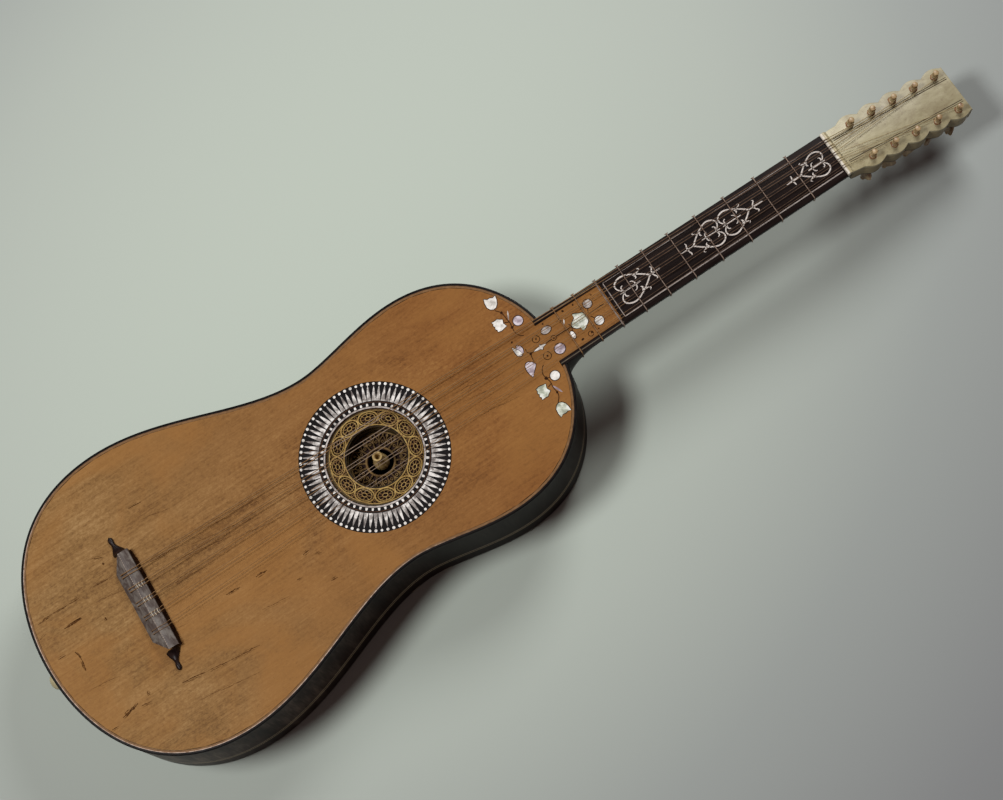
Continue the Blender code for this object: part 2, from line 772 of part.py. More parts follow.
def make_nut():
    # A bar with a rounded top, standing on the neck between fingerboard and peghead
    bottom = NECK_TOP + GAP
    top = BELLY_TOP + NUT_HEIGHT
    corner = 0.30 * NUT_LENGTH
    profile = [
        (0.0, bottom),
        (NUT_LENGTH, bottom),
        (NUT_LENGTH, top - corner),
        (NUT_LENGTH - 0.3 * corner, top - 0.3 * corner),
        (NUT_LENGTH - corner, top),
        (corner, top),
        (0.3 * corner, top - 0.3 * corner),
        (0.0, top - corner),
    ]
    near = [(-neck_half_width(NUT_FROM_ROSE + y), NUT_FROM_ROSE + y, z) for y, z in profile]
    far = [(-x, y, z) for x, y, z in near]
    add_part("nut", loft_mesh("nut", [near, far]), "ivory")


# Frets

def fret_distance(number):
    return NUT_FROM_ROSE - FRET_SCALE * (1 - 2 ** (-number / 12))


def make_frets():
    radius = FRET_GUT / 2
    out = GAP + radius
    for number in range(1, FRET_COUNT + 1):
        y = fret_distance(number)
        slope = (neck_depth(y - out) - neck_depth(y + out)) / (2 * out)
        rounded = neck_round(y, out * math.hypot(1.0, slope))
        side = neck_half_width(y) + out
        top = BELLY_TOP + out
        loop = [(x, z) for x, z in rounded]
        loop[0] = (side, NECK_TOP)
        loop[-1] = (-side, NECK_TOP)
        shoulder = 0.4 * FRET_GUT
        over = [(-side, top - shoulder), (-side + shoulder, top), (side - shoulder, top), (side, top - shoulder)]
        loop += over
        points = [(x, 0.0, z) for x, z in loop]
        fret = tube(f"fret_{number:02d}", points, radius, "gut", closed=True)
        fret.location.y = y


# Peghead and pegs

def head_matrix():
    # Across, along and out of the peghead's face, from the edge where it meets the neck
    return Matrix.Translation((0.0, HEAD_FROM_ROSE, BELLY_TOP)) @ Matrix.Rotation(-HEAD_ANGLE, 4, "X")


def peg_place(side, index):
    spread = PEG_ROW_SPREAD * index / (PEGS_PER_SIDE - 1)
    return side * (PEG_ROW_HALF_WIDTH + spread), FIRST_PEG + PEG_PITCH * index


def head_outline():
    # Scalloped edges with one lobe at each peg, swelling from the neck's width
    start = neck_half_width(HEAD_FROM_ROSE)
    right = [(start, GAP)]
    steps = SCALLOP_STEPS * PEGS_PER_SIDE
    first = FIRST_PEG - PEG_PITCH / 2
    for i in range(1, steps):
        along = first + PEG_PITCH * i / SCALLOP_STEPS
        wave = abs(math.cos(math.pi * (along - FIRST_PEG) / PEG_PITCH))
        right.append((HEAD_HALF_WIDTH + HEAD_SCALLOP * wave, along))
    right = [p for p in right if p[1] < HEAD_LENGTH - PEG_PITCH / SCALLOP_STEPS]
    right.append((HEAD_HALF_WIDTH + HEAD_SCALLOP * 0.3, HEAD_LENGTH))
    return right + mirrored(right)


def make_head():
    outline = head_outline()
    face = plate("peghead_face", [outline], 0.0, FACE_THICKNESS, "ivory")
    core = plate("peghead", [outline], 0.0, HEAD_THICKNESS, "ebony")
    face.matrix_world = head_matrix() @ Matrix.Translation((0, 0, -FACE_THICKNESS / 2))
    core_middle = -FACE_THICKNESS - GAP - HEAD_THICKNESS / 2
    core.matrix_world = head_matrix() @ Matrix.Translation((0, 0, core_middle))

    # Tapered peg holes through both layers
    holes = bmesh.new()
    over = 0.0010
    taper = (PEG_BACK_RADIUS - PEG_FRONT_RADIUS) / BACK_END_OF_HEAD
    widen = 1 / math.cos(math.pi / PEG_SIDES)
    back_radius = (PEG_BACK_RADIUS + taper * over + PEG_CLEARANCE) * widen
    front_radius = (PEG_FRONT_RADIUS - taper * over + PEG_CLEARANCE) * widen
    for side in (-1, 1):
        for index in range(PEGS_PER_SIDE):
            across, along = peg_place(side, index)
            middle = Matrix.Translation((across, along, -BACK_END_OF_HEAD / 2))
            bmesh.ops.create_cone(
                holes,
                cap_ends=True,
                segments=PEG_SIDES,
                radius1=back_radius,
                radius2=front_radius,
                depth=BACK_END_OF_HEAD + 2 * over,
                matrix=middle,
            )
    mesh = bpy.data.meshes.new("peg_holes")
    holes.to_mesh(mesh)
    holes.free()
    cutter = add_cutter("peg_holes", mesh)
    cutter.matrix_world = head_matrix()
    cut(face, cutter)
    cut(core, cutter)


def peg_sections():
    # Round tip and shank, then a flat paddle with a bead, as half widths and heights
    back = -BACK_END_OF_HEAD - PEG_CLEARANCE
    collar_end = back - PEG_COLLAR_LENGTH
    stem_end = collar_end - PEG_STEM_LENGTH
    head_end = stem_end - PEG_HEAD_LENGTH
    wide = PEG_HEAD_WIDTH / 2
    thick = PEG_HEAD_THICKNESS / 2
    tip = PEG_TIP_LENGTH
    round_sections = [
        (0.6 * PEG_BUTTON_RADIUS, tip),
        (PEG_BUTTON_RADIUS, tip - 0.0005),
        (PEG_BUTTON_RADIUS, tip - 0.0014),
        (PEG_TIP_RADIUS, tip - 0.0018),
        (PEG_TIP_RADIUS, 0.0010),
        (PEG_FRONT_RADIUS, 0.0004),
        (PEG_BACK_RADIUS, back),
        (PEG_COLLAR_RADIUS, back),
        (PEG_COLLAR_RADIUS, collar_end + 0.0006),
        (PEG_STEM_RADIUS, collar_end - 0.0006),
    ]
    sections = [(radius, radius, height) for radius, height in round_sections]
    for share, width, thickness in (
        (0.06, 0.42, 0.95), (0.25, 0.86, 1.0), (0.50, 1.0, 1.0), (0.75, 0.82, 0.95), (0.92, 0.42, 0.85),
    ):
        sections.append((wide * width, thick * thickness, stem_end - PEG_HEAD_LENGTH * share))
    bead = PEG_BEAD_RADIUS
    sections.append((0.75 * bead, 0.75 * bead, head_end))
    sections.append((bead, bead, head_end - 0.8 * bead))
    sections.append((0.5 * bead, 0.5 * bead, head_end - 1.8 * bead))
    return sections


def make_peg(name, side, index, turn):
    rings = []
    for across, along, height in peg_sections():
        ring = []
        for i in range(PEG_SIDES):
            a = 2 * math.pi * i / PEG_SIDES
            ring.append((across * math.cos(a), along * math.sin(a), height))
        rings.append(ring)
    peg = add_part(name, loft_mesh(name, rings), "peg_wood", smooth=True)
    place = peg_place(side, index)
    peg.matrix_world = (
        head_matrix()
        @ Matrix.Translation((place[0], place[1], 0.0))
        @ Matrix.Rotation(turn, 4, "Z")
    )


# Bridge

def bridge_matrix():
    # The bridge is set a little askew, its treble end nearer the tail
    place = Matrix.Translation((BRIDGE_OFF_CENTRE, BRIDGE_FROM_ROSE, 0.0))
    return place @ Matrix.Rotation(BRIDGE_SKEW, 4, "Z")


def bridge_line(x):
    return BRIDGE_FROM_ROSE + (x - BRIDGE_OFF_CENTRE) * math.tan(BRIDGE_SKEW)


def make_bridge():
    # A tie block with a flat top and a long slope towards the tail
    seat = BELLY_TOP + GAP
    ridge = BRIDGE_FRONT - BRIDGE_TOP_LENGTH
    profile = [
        (BRIDGE_FRONT, seat),
        (BRIDGE_FRONT, seat + BRIDGE_HEIGHT - 0.0008),
        (BRIDGE_FRONT - 0.0008, seat + BRIDGE_HEIGHT),
        (ridge, seat + BRIDGE_HEIGHT),
        (-BRIDGE_BACK, seat + BRIDGE_BACK_HEIGHT),
        (-BRIDGE_BACK, seat),
    ]

    def end(side):
        # The ends slope in from the front edge to the shorter back edge
        points = []
        for y, z in profile:
            share = min((BRIDGE_FRONT - y) / (BRIDGE_FRONT + BRIDGE_BACK), 1.0)
            past_ridge = max(0.0, share - BRIDGE_TOP_LENGTH / (BRIDGE_FRONT + BRIDGE_BACK))
            reach = past_ridge / (1 - BRIDGE_TOP_LENGTH / (BRIDGE_FRONT + BRIDGE_BACK))
            half = BRIDGE_HALF_LENGTH + (BRIDGE_BACK_HALF_LENGTH - BRIDGE_HALF_LENGTH) * reach
            points.append((side * half, y, z))
        return points

    mesh = loft_mesh("bridge", [end(-1), end(1)])
    mesh.transform(bridge_matrix())
    bridge = add_part("bridge", mesh, "ebony")

    # Ten string holes through the tie block
    holes = bmesh.new()
    length = 2 * (BRIDGE_FRONT + BRIDGE_BACK)
    for course, diameter in STRING_DIAMETERS.items():
        radius = (diameter / 2 + STRING_HOLE_CLEARANCE) / math.cos(math.pi / 6)
        for member in (-1, 1):
            x = string_across_bridge(course, member)
            spot = Vector((x, bridge_line(x), string_height_at_bridge()))
            lay_down = Matrix.Translation(spot) @ Matrix.Rotation(math.pi / 2, 4, "X")
            bmesh.ops.create_cone(
                holes,
                cap_ends=True,
                segments=6,
                radius1=radius,
                radius2=radius,
                depth=length,
                matrix=lay_down,
            )
    mesh = bpy.data.meshes.new("string_holes")
    holes.to_mesh(mesh)
    holes.free()
    cut(bridge, add_cutter("string_holes", mesh))


def make_bridge_finials():
    # Ogee tapers that carry the bridge's line out to small round ends
    start = BRIDGE_HALF_LENGTH + GAP
    length = FINIAL_REACH - start
    root = FINIAL_ROOT_WIDTH / 2
    waist = FINIAL_WAIST_WIDTH / 2
    tip = FINIAL_TIP_WIDTH / 2
    upper = [(start, root)]
    for i in range(1, 6):
        t = i / 5
        ease = (1 - math.cos(math.pi * t)) / 2
        upper.append((start + 0.62 * length * t, root + (waist - root) * ease))
    centre = FINIAL_REACH - tip
    for i in range(1, 5):
        a = math.pi * (1 - i / 4) * 0.72
        upper.append((centre + tip * math.cos(a), tip * math.sin(a)))
    outline = upper + [(x, -y) for x, y in reversed(upper[:-1])]
    for name, sign in (("bridge_finial_treble", 1), ("bridge_finial_bass", -1)):
        spots = []
        for x, y in outline:
            share = min(1.0, (x - start) / (0.7 * length))
            centre_line = FINIAL_ROOT_OFF_CENTRE + (FINIAL_TIP_OFF_CENTRE - FINIAL_ROOT_OFF_CENTRE) * share
            spots.append(bridge_matrix() @ Vector((sign * x, y + centre_line, 0.0)))
        points = [(spot.x, spot.y) for spot in spots]
        if sign < 0:
            points.reverse()
        plate(name, [points], BELLY_TOP + GAP, FINIAL_THICKNESS, "ebony")


# Strings

def string_across(course, member, course_spacing, pair_spacing):
    return (3 - course) * course_spacing + member * pair_spacing / 2


def string_across_bridge(course, member):
    across = string_across(course, member, COURSE_SPACING_AT_BRIDGE, PAIR_SPACING_AT_BRIDGE)
    return across + COURSES_OFF_CENTRE


def string_height_at_bridge():
    return BELLY_TOP + GAP + STRING_HEIGHT_AT_BRIDGE


def bridge_tie(x, radius):
    # The end of the string: back through its hole, up over the tie block and down in front
    front = bridge_line(x) + BRIDGE_FRONT
    back_hole = front - BRIDGE_TOP_LENGTH
    air = 1.05 * radius + GAP
    level = string_height_at_bridge()
    top = BELLY_TOP + GAP + BRIDGE_HEIGHT + air
    fall = (BRIDGE_HEIGHT - BRIDGE_BACK_HEIGHT) / (BRIDGE_BACK + BRIDGE_FRONT - BRIDGE_TOP_LENGTH)
    exit_back = back_hole - (BRIDGE_HEIGHT - STRING_HEIGHT_AT_BRIDGE) / fall
    out = 2.2 * air
    return [
        (x + TIE_OFFSET, front + air, level - 0.8 * air),
        (x + TIE_OFFSET, front + air, top - air),
        (x + TIE_OFFSET, front - 1.2 * air, top + 0.2 * air),
        (x + 0.6 * TIE_OFFSET, back_hole, top + 0.3 * air),
        (x + 0.2 * TIE_OFFSET, exit_back - 1.2 * air, level + 3.2 * air),
        (x, exit_back - 1.3 * out, level + 0.9 * air),
        (x, exit_back - 1.1 * air, level),
        (x, front + air, level),
    ]


def peg_winding(nut_point, side, index, radius):
    # From the nut to the inner side of the peg's tip, then round it and outwards
    head = head_matrix()
    to_head = head.inverted()
    start = to_head @ Vector(nut_point)
    flip = -side
    u0 = flip * start.x
    across, along = peg_place(side, index)
    centre_u = flip * across
    reach = PEG_TIP_RADIUS + PEG_CLEARANCE + radius
    du = centre_u - u0
    dv = along - start.y
    heading = math.atan2(dv, du) - math.asin(reach / math.hypot(du, dv))
    first = heading - math.pi / 2
    pitch = 2 * radius + WINDING_AIR
    bottom = 0.0024
    points = []
    count = int(WINDING_TURNS * WINDING_STEPS)
    for i in range(count + 1):
        angle = first + 2 * math.pi * i / WINDING_STEPS
        height = bottom + pitch * max(0.0, i / WINDING_STEPS - 0.1)
        u = centre_u + reach * math.cos(angle)
        v = along + reach * math.sin(angle)
        points.append(head @ Vector((flip * u, v, height)))
    return [tuple(p) for p in points]


def least_gap_in_winding(points, diameter):
    # Smallest air between stretches of the string that lie at least half a turn apart
    track = np.array(points)
    least = math.inf
    for i in range(len(track)):
        for j in range(i + WINDING_STEPS // 2, len(track) - 1):
            start, end = track[j], track[j + 1]
            run = end - start
            t = np.clip(np.dot(track[i] - start, run) / np.dot(run, run), 0.0, 1.0)
            least = min(least, float(np.linalg.norm(track[i] - start - t * run)))
    return least - diameter


def make_strings():
    # Outer strings go to the nearest pegs, the inner ones pass inside them
    orders = {
        1: [(1, 1), (1, -1), (2, 1), (2, -1), (3, 1)],
        -1: [(5, -1), (5, 1), (4, -1), (4, 1), (3, -1)],
    }
    turn = 0
    for side, order in orders.items():
        for index, (course, member) in enumerate(order):
            letter = "a" if member < 0 else "b"
            diameter = STRING_DIAMETERS[course]
            radius = diameter / 2
            x_bridge = string_across_bridge(course, member)
            x_nut = string_across(course, member, COURSE_SPACING_AT_NUT, PAIR_SPACING_AT_NUT)
            over_nut = BELLY_TOP + NUT_HEIGHT + GAP + radius
            edge = 0.3 * NUT_LENGTH
            front = (x_nut, NUT_FROM_ROSE + edge, over_nut)
            back = (x_nut, NUT_FROM_ROSE + NUT_LENGTH - edge, over_nut)
            tie = bridge_tie(x_bridge, radius)
            winding = peg_winding(back, side, index, radius)
            tube(f"string_{course}{letter}", tie + [front, back] + winding, radius, "gut")
            make_peg(f"peg_{course}{letter}", side, index, PEG_TURN_STEP * turn)
            turn += 1
            least = min(least_gap_in_winding(winding, diameter), least_gap_in_tie(tie, diameter))
            print(f"string_{course}{letter} least gap to itself {1000 * least:.2f} mm")


def least_gap_in_tie(points, diameter):
    # Smallest air between the standing string and the loop over the tie block
    track = [np.array(p) for p in points]
    start, end = track[-2], track[-1]
    run = end - start
    least = math.inf
    for first, second in zip(track[:5], track[1:5]):
        for share in np.linspace(0.0, 1.0, 12):
            spot = first + (second - first) * share
            t = np.clip(np.dot(spot - start, run) / np.dot(run, run), 0.0, 2.0)
            least = min(least, float(np.linalg.norm(spot - start - t * run)))
    return least - diameter


def build():
    make_back()
    treble, bass = make_ribs()
    make_binding()
    make_belly()
    make_linings()
    tail_block = make_blocks()
    make_bars()
    make_end_button([treble, bass, tail_block])
    make_rosette()
    make_rose()
    make_neck()
    make_fingerboard()
    make_tongue_strips()
    make_nut()
    make_frets()
    make_head()
    make_bridge()
    make_bridge_finials()
    make_strings()
    bpy.context.view_layer.update()


build()
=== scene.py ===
import math
import random

import bmesh
import bpy
from mathutils import Matrix, Vector


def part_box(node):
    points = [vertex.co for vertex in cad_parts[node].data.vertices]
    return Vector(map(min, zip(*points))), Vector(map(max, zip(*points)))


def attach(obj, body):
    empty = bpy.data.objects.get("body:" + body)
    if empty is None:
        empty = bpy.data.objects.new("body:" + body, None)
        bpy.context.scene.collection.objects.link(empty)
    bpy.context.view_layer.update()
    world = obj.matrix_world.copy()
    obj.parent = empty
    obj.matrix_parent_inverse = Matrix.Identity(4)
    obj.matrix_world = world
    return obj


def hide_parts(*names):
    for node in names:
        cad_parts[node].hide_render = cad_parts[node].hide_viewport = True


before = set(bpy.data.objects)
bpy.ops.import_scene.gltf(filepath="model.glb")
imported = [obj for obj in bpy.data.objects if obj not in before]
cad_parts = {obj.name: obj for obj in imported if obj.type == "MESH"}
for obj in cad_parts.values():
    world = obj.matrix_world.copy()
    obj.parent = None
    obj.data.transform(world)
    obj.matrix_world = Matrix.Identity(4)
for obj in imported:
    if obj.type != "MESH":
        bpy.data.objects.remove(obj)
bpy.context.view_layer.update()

# Shapes are worked out in millimetres, and loftInto turns them into metres.
# The camera, the lamps and the places inside finishes are in metres.
mm = 0.001
gap = 0.3  # glue room between two pieces
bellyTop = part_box("belly")[1][2] / mm  # the face of the belly, every inlay is laid into it
bodyRoot = "instrument"


# Camera, as the photograph was taken

cameraSet = {
    "lens": 87.94,
    "sensor": 36.0,
    "frame": (1003, 800),
    "place": (0.60465, 0.07524, 2.07999),
    "right": (0.53112, 0.83589, -0.13855),
    "up": (-0.79919, 0.54854, 0.24576),
    "back": (0.28143, -0.01980, 0.95938),
}


def setCamera():
    eye = bpy.data.cameras.new("camera")
    eye.lens = cameraSet["lens"]
    eye.sensor_width = cameraSet["sensor"]
    eye.sensor_fit = "HORIZONTAL"
    stand = bpy.data.objects.new("camera", eye)
    bpy.context.scene.collection.objects.link(stand)
    turn = Matrix((cameraSet["right"], cameraSet["up"], cameraSet["back"])).transposed()
    stand.matrix_world = Matrix.Translation(cameraSet["place"]) @ turn.to_4x4()
    bpy.context.scene.camera = stand
    bpy.context.scene.view_settings.view_transform = "Standard"


def onBelly(column, row):
    # Where the camera's line through a place in the picture's frame meets the belly
    wide, high = cameraSet["frame"]
    lens = cameraSet["lens"] / cameraSet["sensor"] * wide
    right, up, back = (Vector(cameraSet[k]) for k in ("right", "up", "back"))
    ray = right * (column - wide / 2) / lens - up * (row - high / 2) / lens - back
    eye = Vector(cameraSet["place"]) / mm
    return (eye + ray * ((bellyTop - eye.z) / ray.z)).to_2d()


# Small helpers for node materials

def shade(colour):
    # Screen colour, 0 to 255, to the numbers that a shader takes
    levels = [value / 255 for value in colour]
    return (*[v / 12.92 if v <= 0.04045 else ((v + 0.055) / 1.055) ** 2.4 for v in levels], 1.0)


class Finish:
    # One material under way: adds nodes and joins them in short calls
    def __init__(self, name, rough=0.5, shine=0.5):
        self.material = bpy.data.materials.new(name)
        self.material.use_nodes = True
        self.tree = self.material.node_tree
        self.shader = self.tree.nodes["Principled BSDF"]
        self.shader.inputs["Roughness"].default_value = rough
        self.shader.inputs["Specular IOR Level"].default_value = shine
        self.spot = self.tree.nodes.new("ShaderNodeTexCoord").outputs["Object"]

    def add(self, kind, *values, **settings):
        one = self.tree.nodes.new(kind)
        for key, value in settings.items():
            setattr(one, key, value)
        for slot, value in enumerate(values):
            self.give(one.inputs[slot], value)
        return one

    def give(self, socket, value):
        if isinstance(value, bpy.types.NodeSocket):
            self.tree.links.new(value, socket)
        elif value is not None:
            socket.default_value = shade(value) if socket.type == "RGBA" else value

    def reckon(self, kind, a, b=None, clamp=False):
        return self.add("ShaderNodeMath", a, b, operation=kind, use_clamp=clamp).outputs[0]

    def times(self, value, share):
        return self.reckon("MULTIPLY", value, share)

    def plus(self, value, more):
        return self.reckon("ADD", value, more)

    def total(self, *parts):
        # Layers added up, each with its share
        tone = self.times(*parts[0])
        for part in parts[1:]:
            tone = self.plus(tone, self.times(*part))
        return tone

    def either(self, first, *others):
        for other in others:
            first = self.reckon("MAXIMUM", first, other)
        return first

    def axis(self, letter):
        return self.add("ShaderNodeSeparateXYZ", self.spot).outputs[letter]

    def rise(self, value, low, high):
        # 0 up to low, 1 from high on
        one = self.add("ShaderNodeMapRange", value)
        one.inputs["From Min"].default_value = low
        one.inputs["From Max"].default_value = high
        return one.outputs[0]

    def within(self, value, low, high, soft):
        # 1 between low and high, 0 outside, with soft edges
        start, end = self.rise(value, low - soft, low + soft), self.rise(value, high - soft, high + soft)
        return self.reckon("SUBTRACT", start, end, clamp=True)

    def noise(self, stretch, detail=4.0, rough=0.55, swirl=0.0):
        # Stretch is how fine the pattern is along each axis
        spot = self.add("ShaderNodeMapping", self.spot)
        spot.inputs["Scale"].default_value = stretch
        one = self.add("ShaderNodeTexNoise", spot.outputs[0])
        for key, value in (("Scale", 1.0), ("Detail", detail), ("Roughness", rough), ("Distortion", swirl)):
            one.inputs[key].default_value = value
        return one.outputs[0]

    def ramp(self, value, *stops):
        # Each stop has a place and a screen colour, or a plain level from 0 to 1
        one = self.add("ShaderNodeValToRGB", value)
        line = one.color_ramp
        while len(line.elements) < len(stops):
            line.elements.new(0.5)
        for element, (place, colour) in zip(line.elements, stops):
            element.position = place
            element.color = shade(colour) if isinstance(colour, tuple) else (colour, colour, colour, 1.0)
        return one.outputs[0]

    def blend(self, share, first, second):
        one = self.add("ShaderNodeMix", data_type="RGBA")
        for slot, value in ((0, share), (6, first), (7, second)):
            self.give(one.inputs[slot], value)
        return one.outputs[2]

    def over(self, base, colour, layer, *stops):
        # Lays a colour over the base where the layer is strong
        return self.blend(self.ramp(layer, *stops), base, colour)

    def done(self, colour, height=None, strength=0.2, distance=0.0001):
        # Takes the colour and, where there is one, the fine relief
        self.give(self.shader.inputs["Base Color"], colour)
        if height is not None:
            one = self.add("ShaderNodeBump")
            one.inputs["Strength"].default_value = strength
            one.inputs["Distance"].default_value = distance
            self.give(one.inputs["Height"], height)
            self.give(self.shader.inputs["Normal"], one.outputs[0])
        return self.material


# Finishes

spruceSet = {
    "paleEnd": [
        (0.41, (106, 74, 38)), (0.48, (133, 99, 56)), (0.53, (144, 109, 65)), (0.60, (161, 127, 82)),
    ],
    "redEnd": [
        (0.41, (104, 64, 28)), (0.48, (129, 84, 40)), (0.53, (138, 92, 46)), (0.60, (152, 108, 58)),
    ],
    "turns": (-0.26, 0.10),  # from the pale end to the red one
    "golden": (151, 105, 53), "grime": (98, 64, 33),
    "middle": 0.505, "weak": 0.62, "strong": 0.42,  # contrast, and what the centre and the tail add to it
}


def makeSpruce():
    # Old varnish on spruce: fibres, mottling and grime, paler at the tail and redder towards the neck
    f = spruceSet
    one = Finish("agedSpruce", 0.6, 0.12)
    fibre = one.noise((1000, 60, 400), 4.0, 0.62)
    grain = one.noise((300, 9, 150), 3.0, 0.55, 0.2)
    mottle = one.noise((400, 290, 300), 5.0, 0.8, 0.5)
    patch = one.noise((24, 14, 24), 4.0, 0.6, 0.5)
    gilding = one.noise((11, 8, 11), 3.0, 0.55, 0.8)
    dirt = one.noise((520, 260, 400), 3.0, 0.7, 0.3)
    tone = one.total((fibre, 0.22), (grain, 0.14), (mottle, 0.42), (patch, 0.22))
    centre = one.within(one.axis("X"), -0.055, 0.06, 0.03)
    tail = one.within(one.axis("Y"), -0.5, -0.19, 0.05)
    contrast = one.plus(one.times(one.either(centre, tail), f["strong"]), f["weak"])
    tone = one.plus(one.times(one.reckon("SUBTRACT", tone, f["middle"]), contrast), f["middle"])
    pale, red = one.ramp(tone, *f["paleEnd"]), one.ramp(tone, *f["redEnd"])
    base = one.blend(one.rise(one.axis("Y"), *f["turns"]), pale, red)
    base = one.over(base, f["golden"], gilding, (0.44, 0.0), (0.60, 0.55))
    base = one.over(base, f["grime"], dirt, (0.61, 0.0), (0.74, 0.4))
    one.give(one.shader.inputs["Roughness"], one.ramp(mottle, (0.35, 0.54), (0.65, 0.68)))
    return one.done(base, tone, 0.3, 0.0003)


def makeDarkWood(name, deep, light, rough, shine=0.2):
    one = Finish(name, rough, shine)
    streak = one.noise((420, 22, 420), 5.0, 0.6)
    cloud = one.noise((16, 10, 16), 3.0)
    base = one.over(one.ramp(streak, (0.3, deep), (0.7, light)), deep, cloud, (0.35, 0.25), (0.7, 0.85))
    one.give(one.shader.inputs["Roughness"], one.ramp(streak, (0.3, rough - 0.08), (0.7, rough + 0.14)))
    return one.done(base, streak)


ribSet = {
    "tones": [(0.36, (36, 22, 19)), (0.47, (62, 46, 40)), (0.54, (82, 68, 60)), (0.64, (116, 97, 86))],
    # The shoulder colour and the span where it sets in are painted shade
    "foot": (22, 14, 12), "footTop": 0.0205, "shoulder": (20, 10, 7), "shadeRise": (-0.28, 0.0),
    "line": (168, 150, 126), "lines": [(0.0212, 0.0226), (0.0254, 0.0268)],
}


def makeRibWood():
    # Smoked ribs with upright streaks, two pale lines low on the side, and painted shade darkening them
    # towards the neck
    f = ribSet
    one = Finish("smokedRibWoodAndPaintedShade", 0.34, 0.02)
    tone = one.total((one.noise((70, 70, 12), 5.0, 0.62), 0.7), (one.noise((600, 600, 40), 3.0), 0.3))
    height = one.axis("Z")
    foot = one.times(one.within(height, -0.01, f["footTop"], 0.0006), 0.6)
    # Painted shade: the ribs darken from the lower bout up to the waist and stay dark towards the neck
    shoulder = one.times(one.rise(one.axis("Y"), *f["shadeRise"]), 0.9)
    lines = one.either(*[one.within(height, low, high, 0.00006) for low, high in f["lines"]])
    wood = one.blend(shoulder, one.blend(foot, one.ramp(tone, *f["tones"]), f["foot"]), f["shoulder"])
    return one.done(one.blend(lines, wood, f["line"]), tone, 0.25, 0.0002)


def makePlain(name, rough, shine, stretch, detail, grit, stops, *relief):
    # One fine grain, coloured by its stops, with a relief of the same grain where one is given
    one = Finish(name, rough, shine)
    fine = one.noise(stretch, detail, grit)
    return one.done(one.ramp(fine, *stops), fine if relief else None, *relief)


def makeSlip(name, dark, light, shine=0.1):
    # Thin slips, lines and stains
    return makePlain(name, 0.5, shine, (500, 200, 400), 4.0, 0.6, [(0.3, dark), (0.7, light)], 0.2, 0.0001)


def makeGut(name, dark, light):
    return makePlain(name, 0.42, 0.2, (800, 800, 800), 3.0, 0.55, [(0.3, dark), (0.7, light)])


def makeParchment(name, dark, mid, light):
    one = Finish(name, 0.5, 0.12)
    fine = one.noise((600, 600, 600), 5.0, 0.65)
    base = one.ramp(fine, (0.25, dark), (0.5, mid), (0.78, light))
    base = one.over(base, dark, one.noise((90, 90, 90), 3.0), (0.35, 0.0), (0.7, 0.7))
    return one.done(base, fine, 0.4, 0.0003)


def makeNutBone():
    # Yellowed bone, rubbed white where the strings cross it
    one = Finish("nutBone", 0.4)
    fine = one.noise((420, 160, 260), 5.0, 0.6)
    old = one.ramp(fine, (0.3, (160, 147, 110)), (0.7, (192, 180, 142)))
    rubbed = one.ramp(fine, (0.34, (166, 154, 132)), (0.5, (222, 214, 196)), (0.62, (240, 234, 220)))
    edge = one.plus(one.axis("Y"), one.times(fine, 0.0008))
    return one.done(one.blend(one.within(edge, 0.4680, 0.4708, 0.0002), old, rubbed), fine)


def makePearl(name, dark, mid, light):
    # Mother-of-pearl: cloudy layers, each plate a little different from the next
    one = Finish(name, 0.26)
    layers = one.noise((520, 300, 300), 4.0, 0.6, 1.6)
    tone = one.total((one.noise((190, 190, 60), 1.0, 0.4), 0.62), (layers, 0.38))
    return one.done(one.ramp(tone, (0.36, dark), (0.48, mid), (0.60, light)), layers, 0.15)


def makePaleLine():
    # Pale at the tail and along the treble side, worn brown elsewhere
    one = Finish("paleBindingLine", 0.5, 0.1)
    fine = one.noise((260, 260, 260), 4.0, 0.6)
    clean = one.ramp(fine, (0.36, (140, 112, 92)), (0.6, (206, 184, 166)))
    worn = one.ramp(fine, (0.36, (84, 60, 40)), (0.6, (120, 90, 62)))
    across, along = one.axis("X"), one.axis("Y")
    tail = one.within(along, -0.5, -0.27, 0.03)
    treble = one.times(one.within(across, 0.0, 0.5, 0.03), one.within(along, -0.5, -0.01, 0.05))
    return one.done(one.blend(one.either(tail, treble), worn, clean))


def makeBackWood():
    # Dark staves parted by thin pale lines
    one = Finish("backStaves", 0.36)
    streak = one.noise((420, 16, 420), 5.0, 0.6)
    across = one.reckon("ABSOLUTE", one.axis("X"))
    half = 0.0006
    lines = [one.within(across, place - half, place + half, 0.00008) for place in (0.0, 0.030, 0.062, 0.096)]
    wood = one.ramp(streak, (0.3, (26, 20, 17)), (0.7, (60, 50, 43)))
    return one.done(one.blend(one.either(*lines), wood, (126, 112, 88)), streak)


def makeBridgeWood(name, deep, mid, dust):
    # Stained dark wood with dusty wear
    one = Finish(name, 0.42, 0.2)
    streak = one.noise((60, 600, 600), 5.0, 0.6)
    wear = one.noise((110, 190, 190), 5.0, 0.65, 0.5)
    base = one.over(one.ramp(streak, (0.3, deep), (0.7, mid)), dust, wear, (0.46, 0.0), (0.66, 0.8))
    return one.done(base, streak, 0.3)


def makeHeadBone():
    # Bone plate with brown clouds and dirt, dimmer towards the far end
    one = Finish("headBonePlate", 0.42)
    fine = one.noise((240, 40, 240), 5.0, 0.6)
    cloud = one.noise((60, 40, 60), 4.0, 0.6, 0.8)
    dirt = one.noise((420, 190, 420), 4.0, 0.7, 0.4)
    base = one.ramp(fine, (0.25, (160, 150, 112)), (0.55, (182, 173, 136)), (0.8, (198, 190, 156)))
    base = one.over(base, (132, 116, 80), cloud, (0.52, 0.0), (0.72, 0.65))
    base = one.over(base, (116, 90, 64), dirt, (0.54, 0.0), (0.70, 0.5))
    far = one.times(one.rise(one.axis("Y"), 0.475, 0.53), 0.32)
    return one.done(one.blend(far, base, (112, 102, 82)), fine, 0.15)


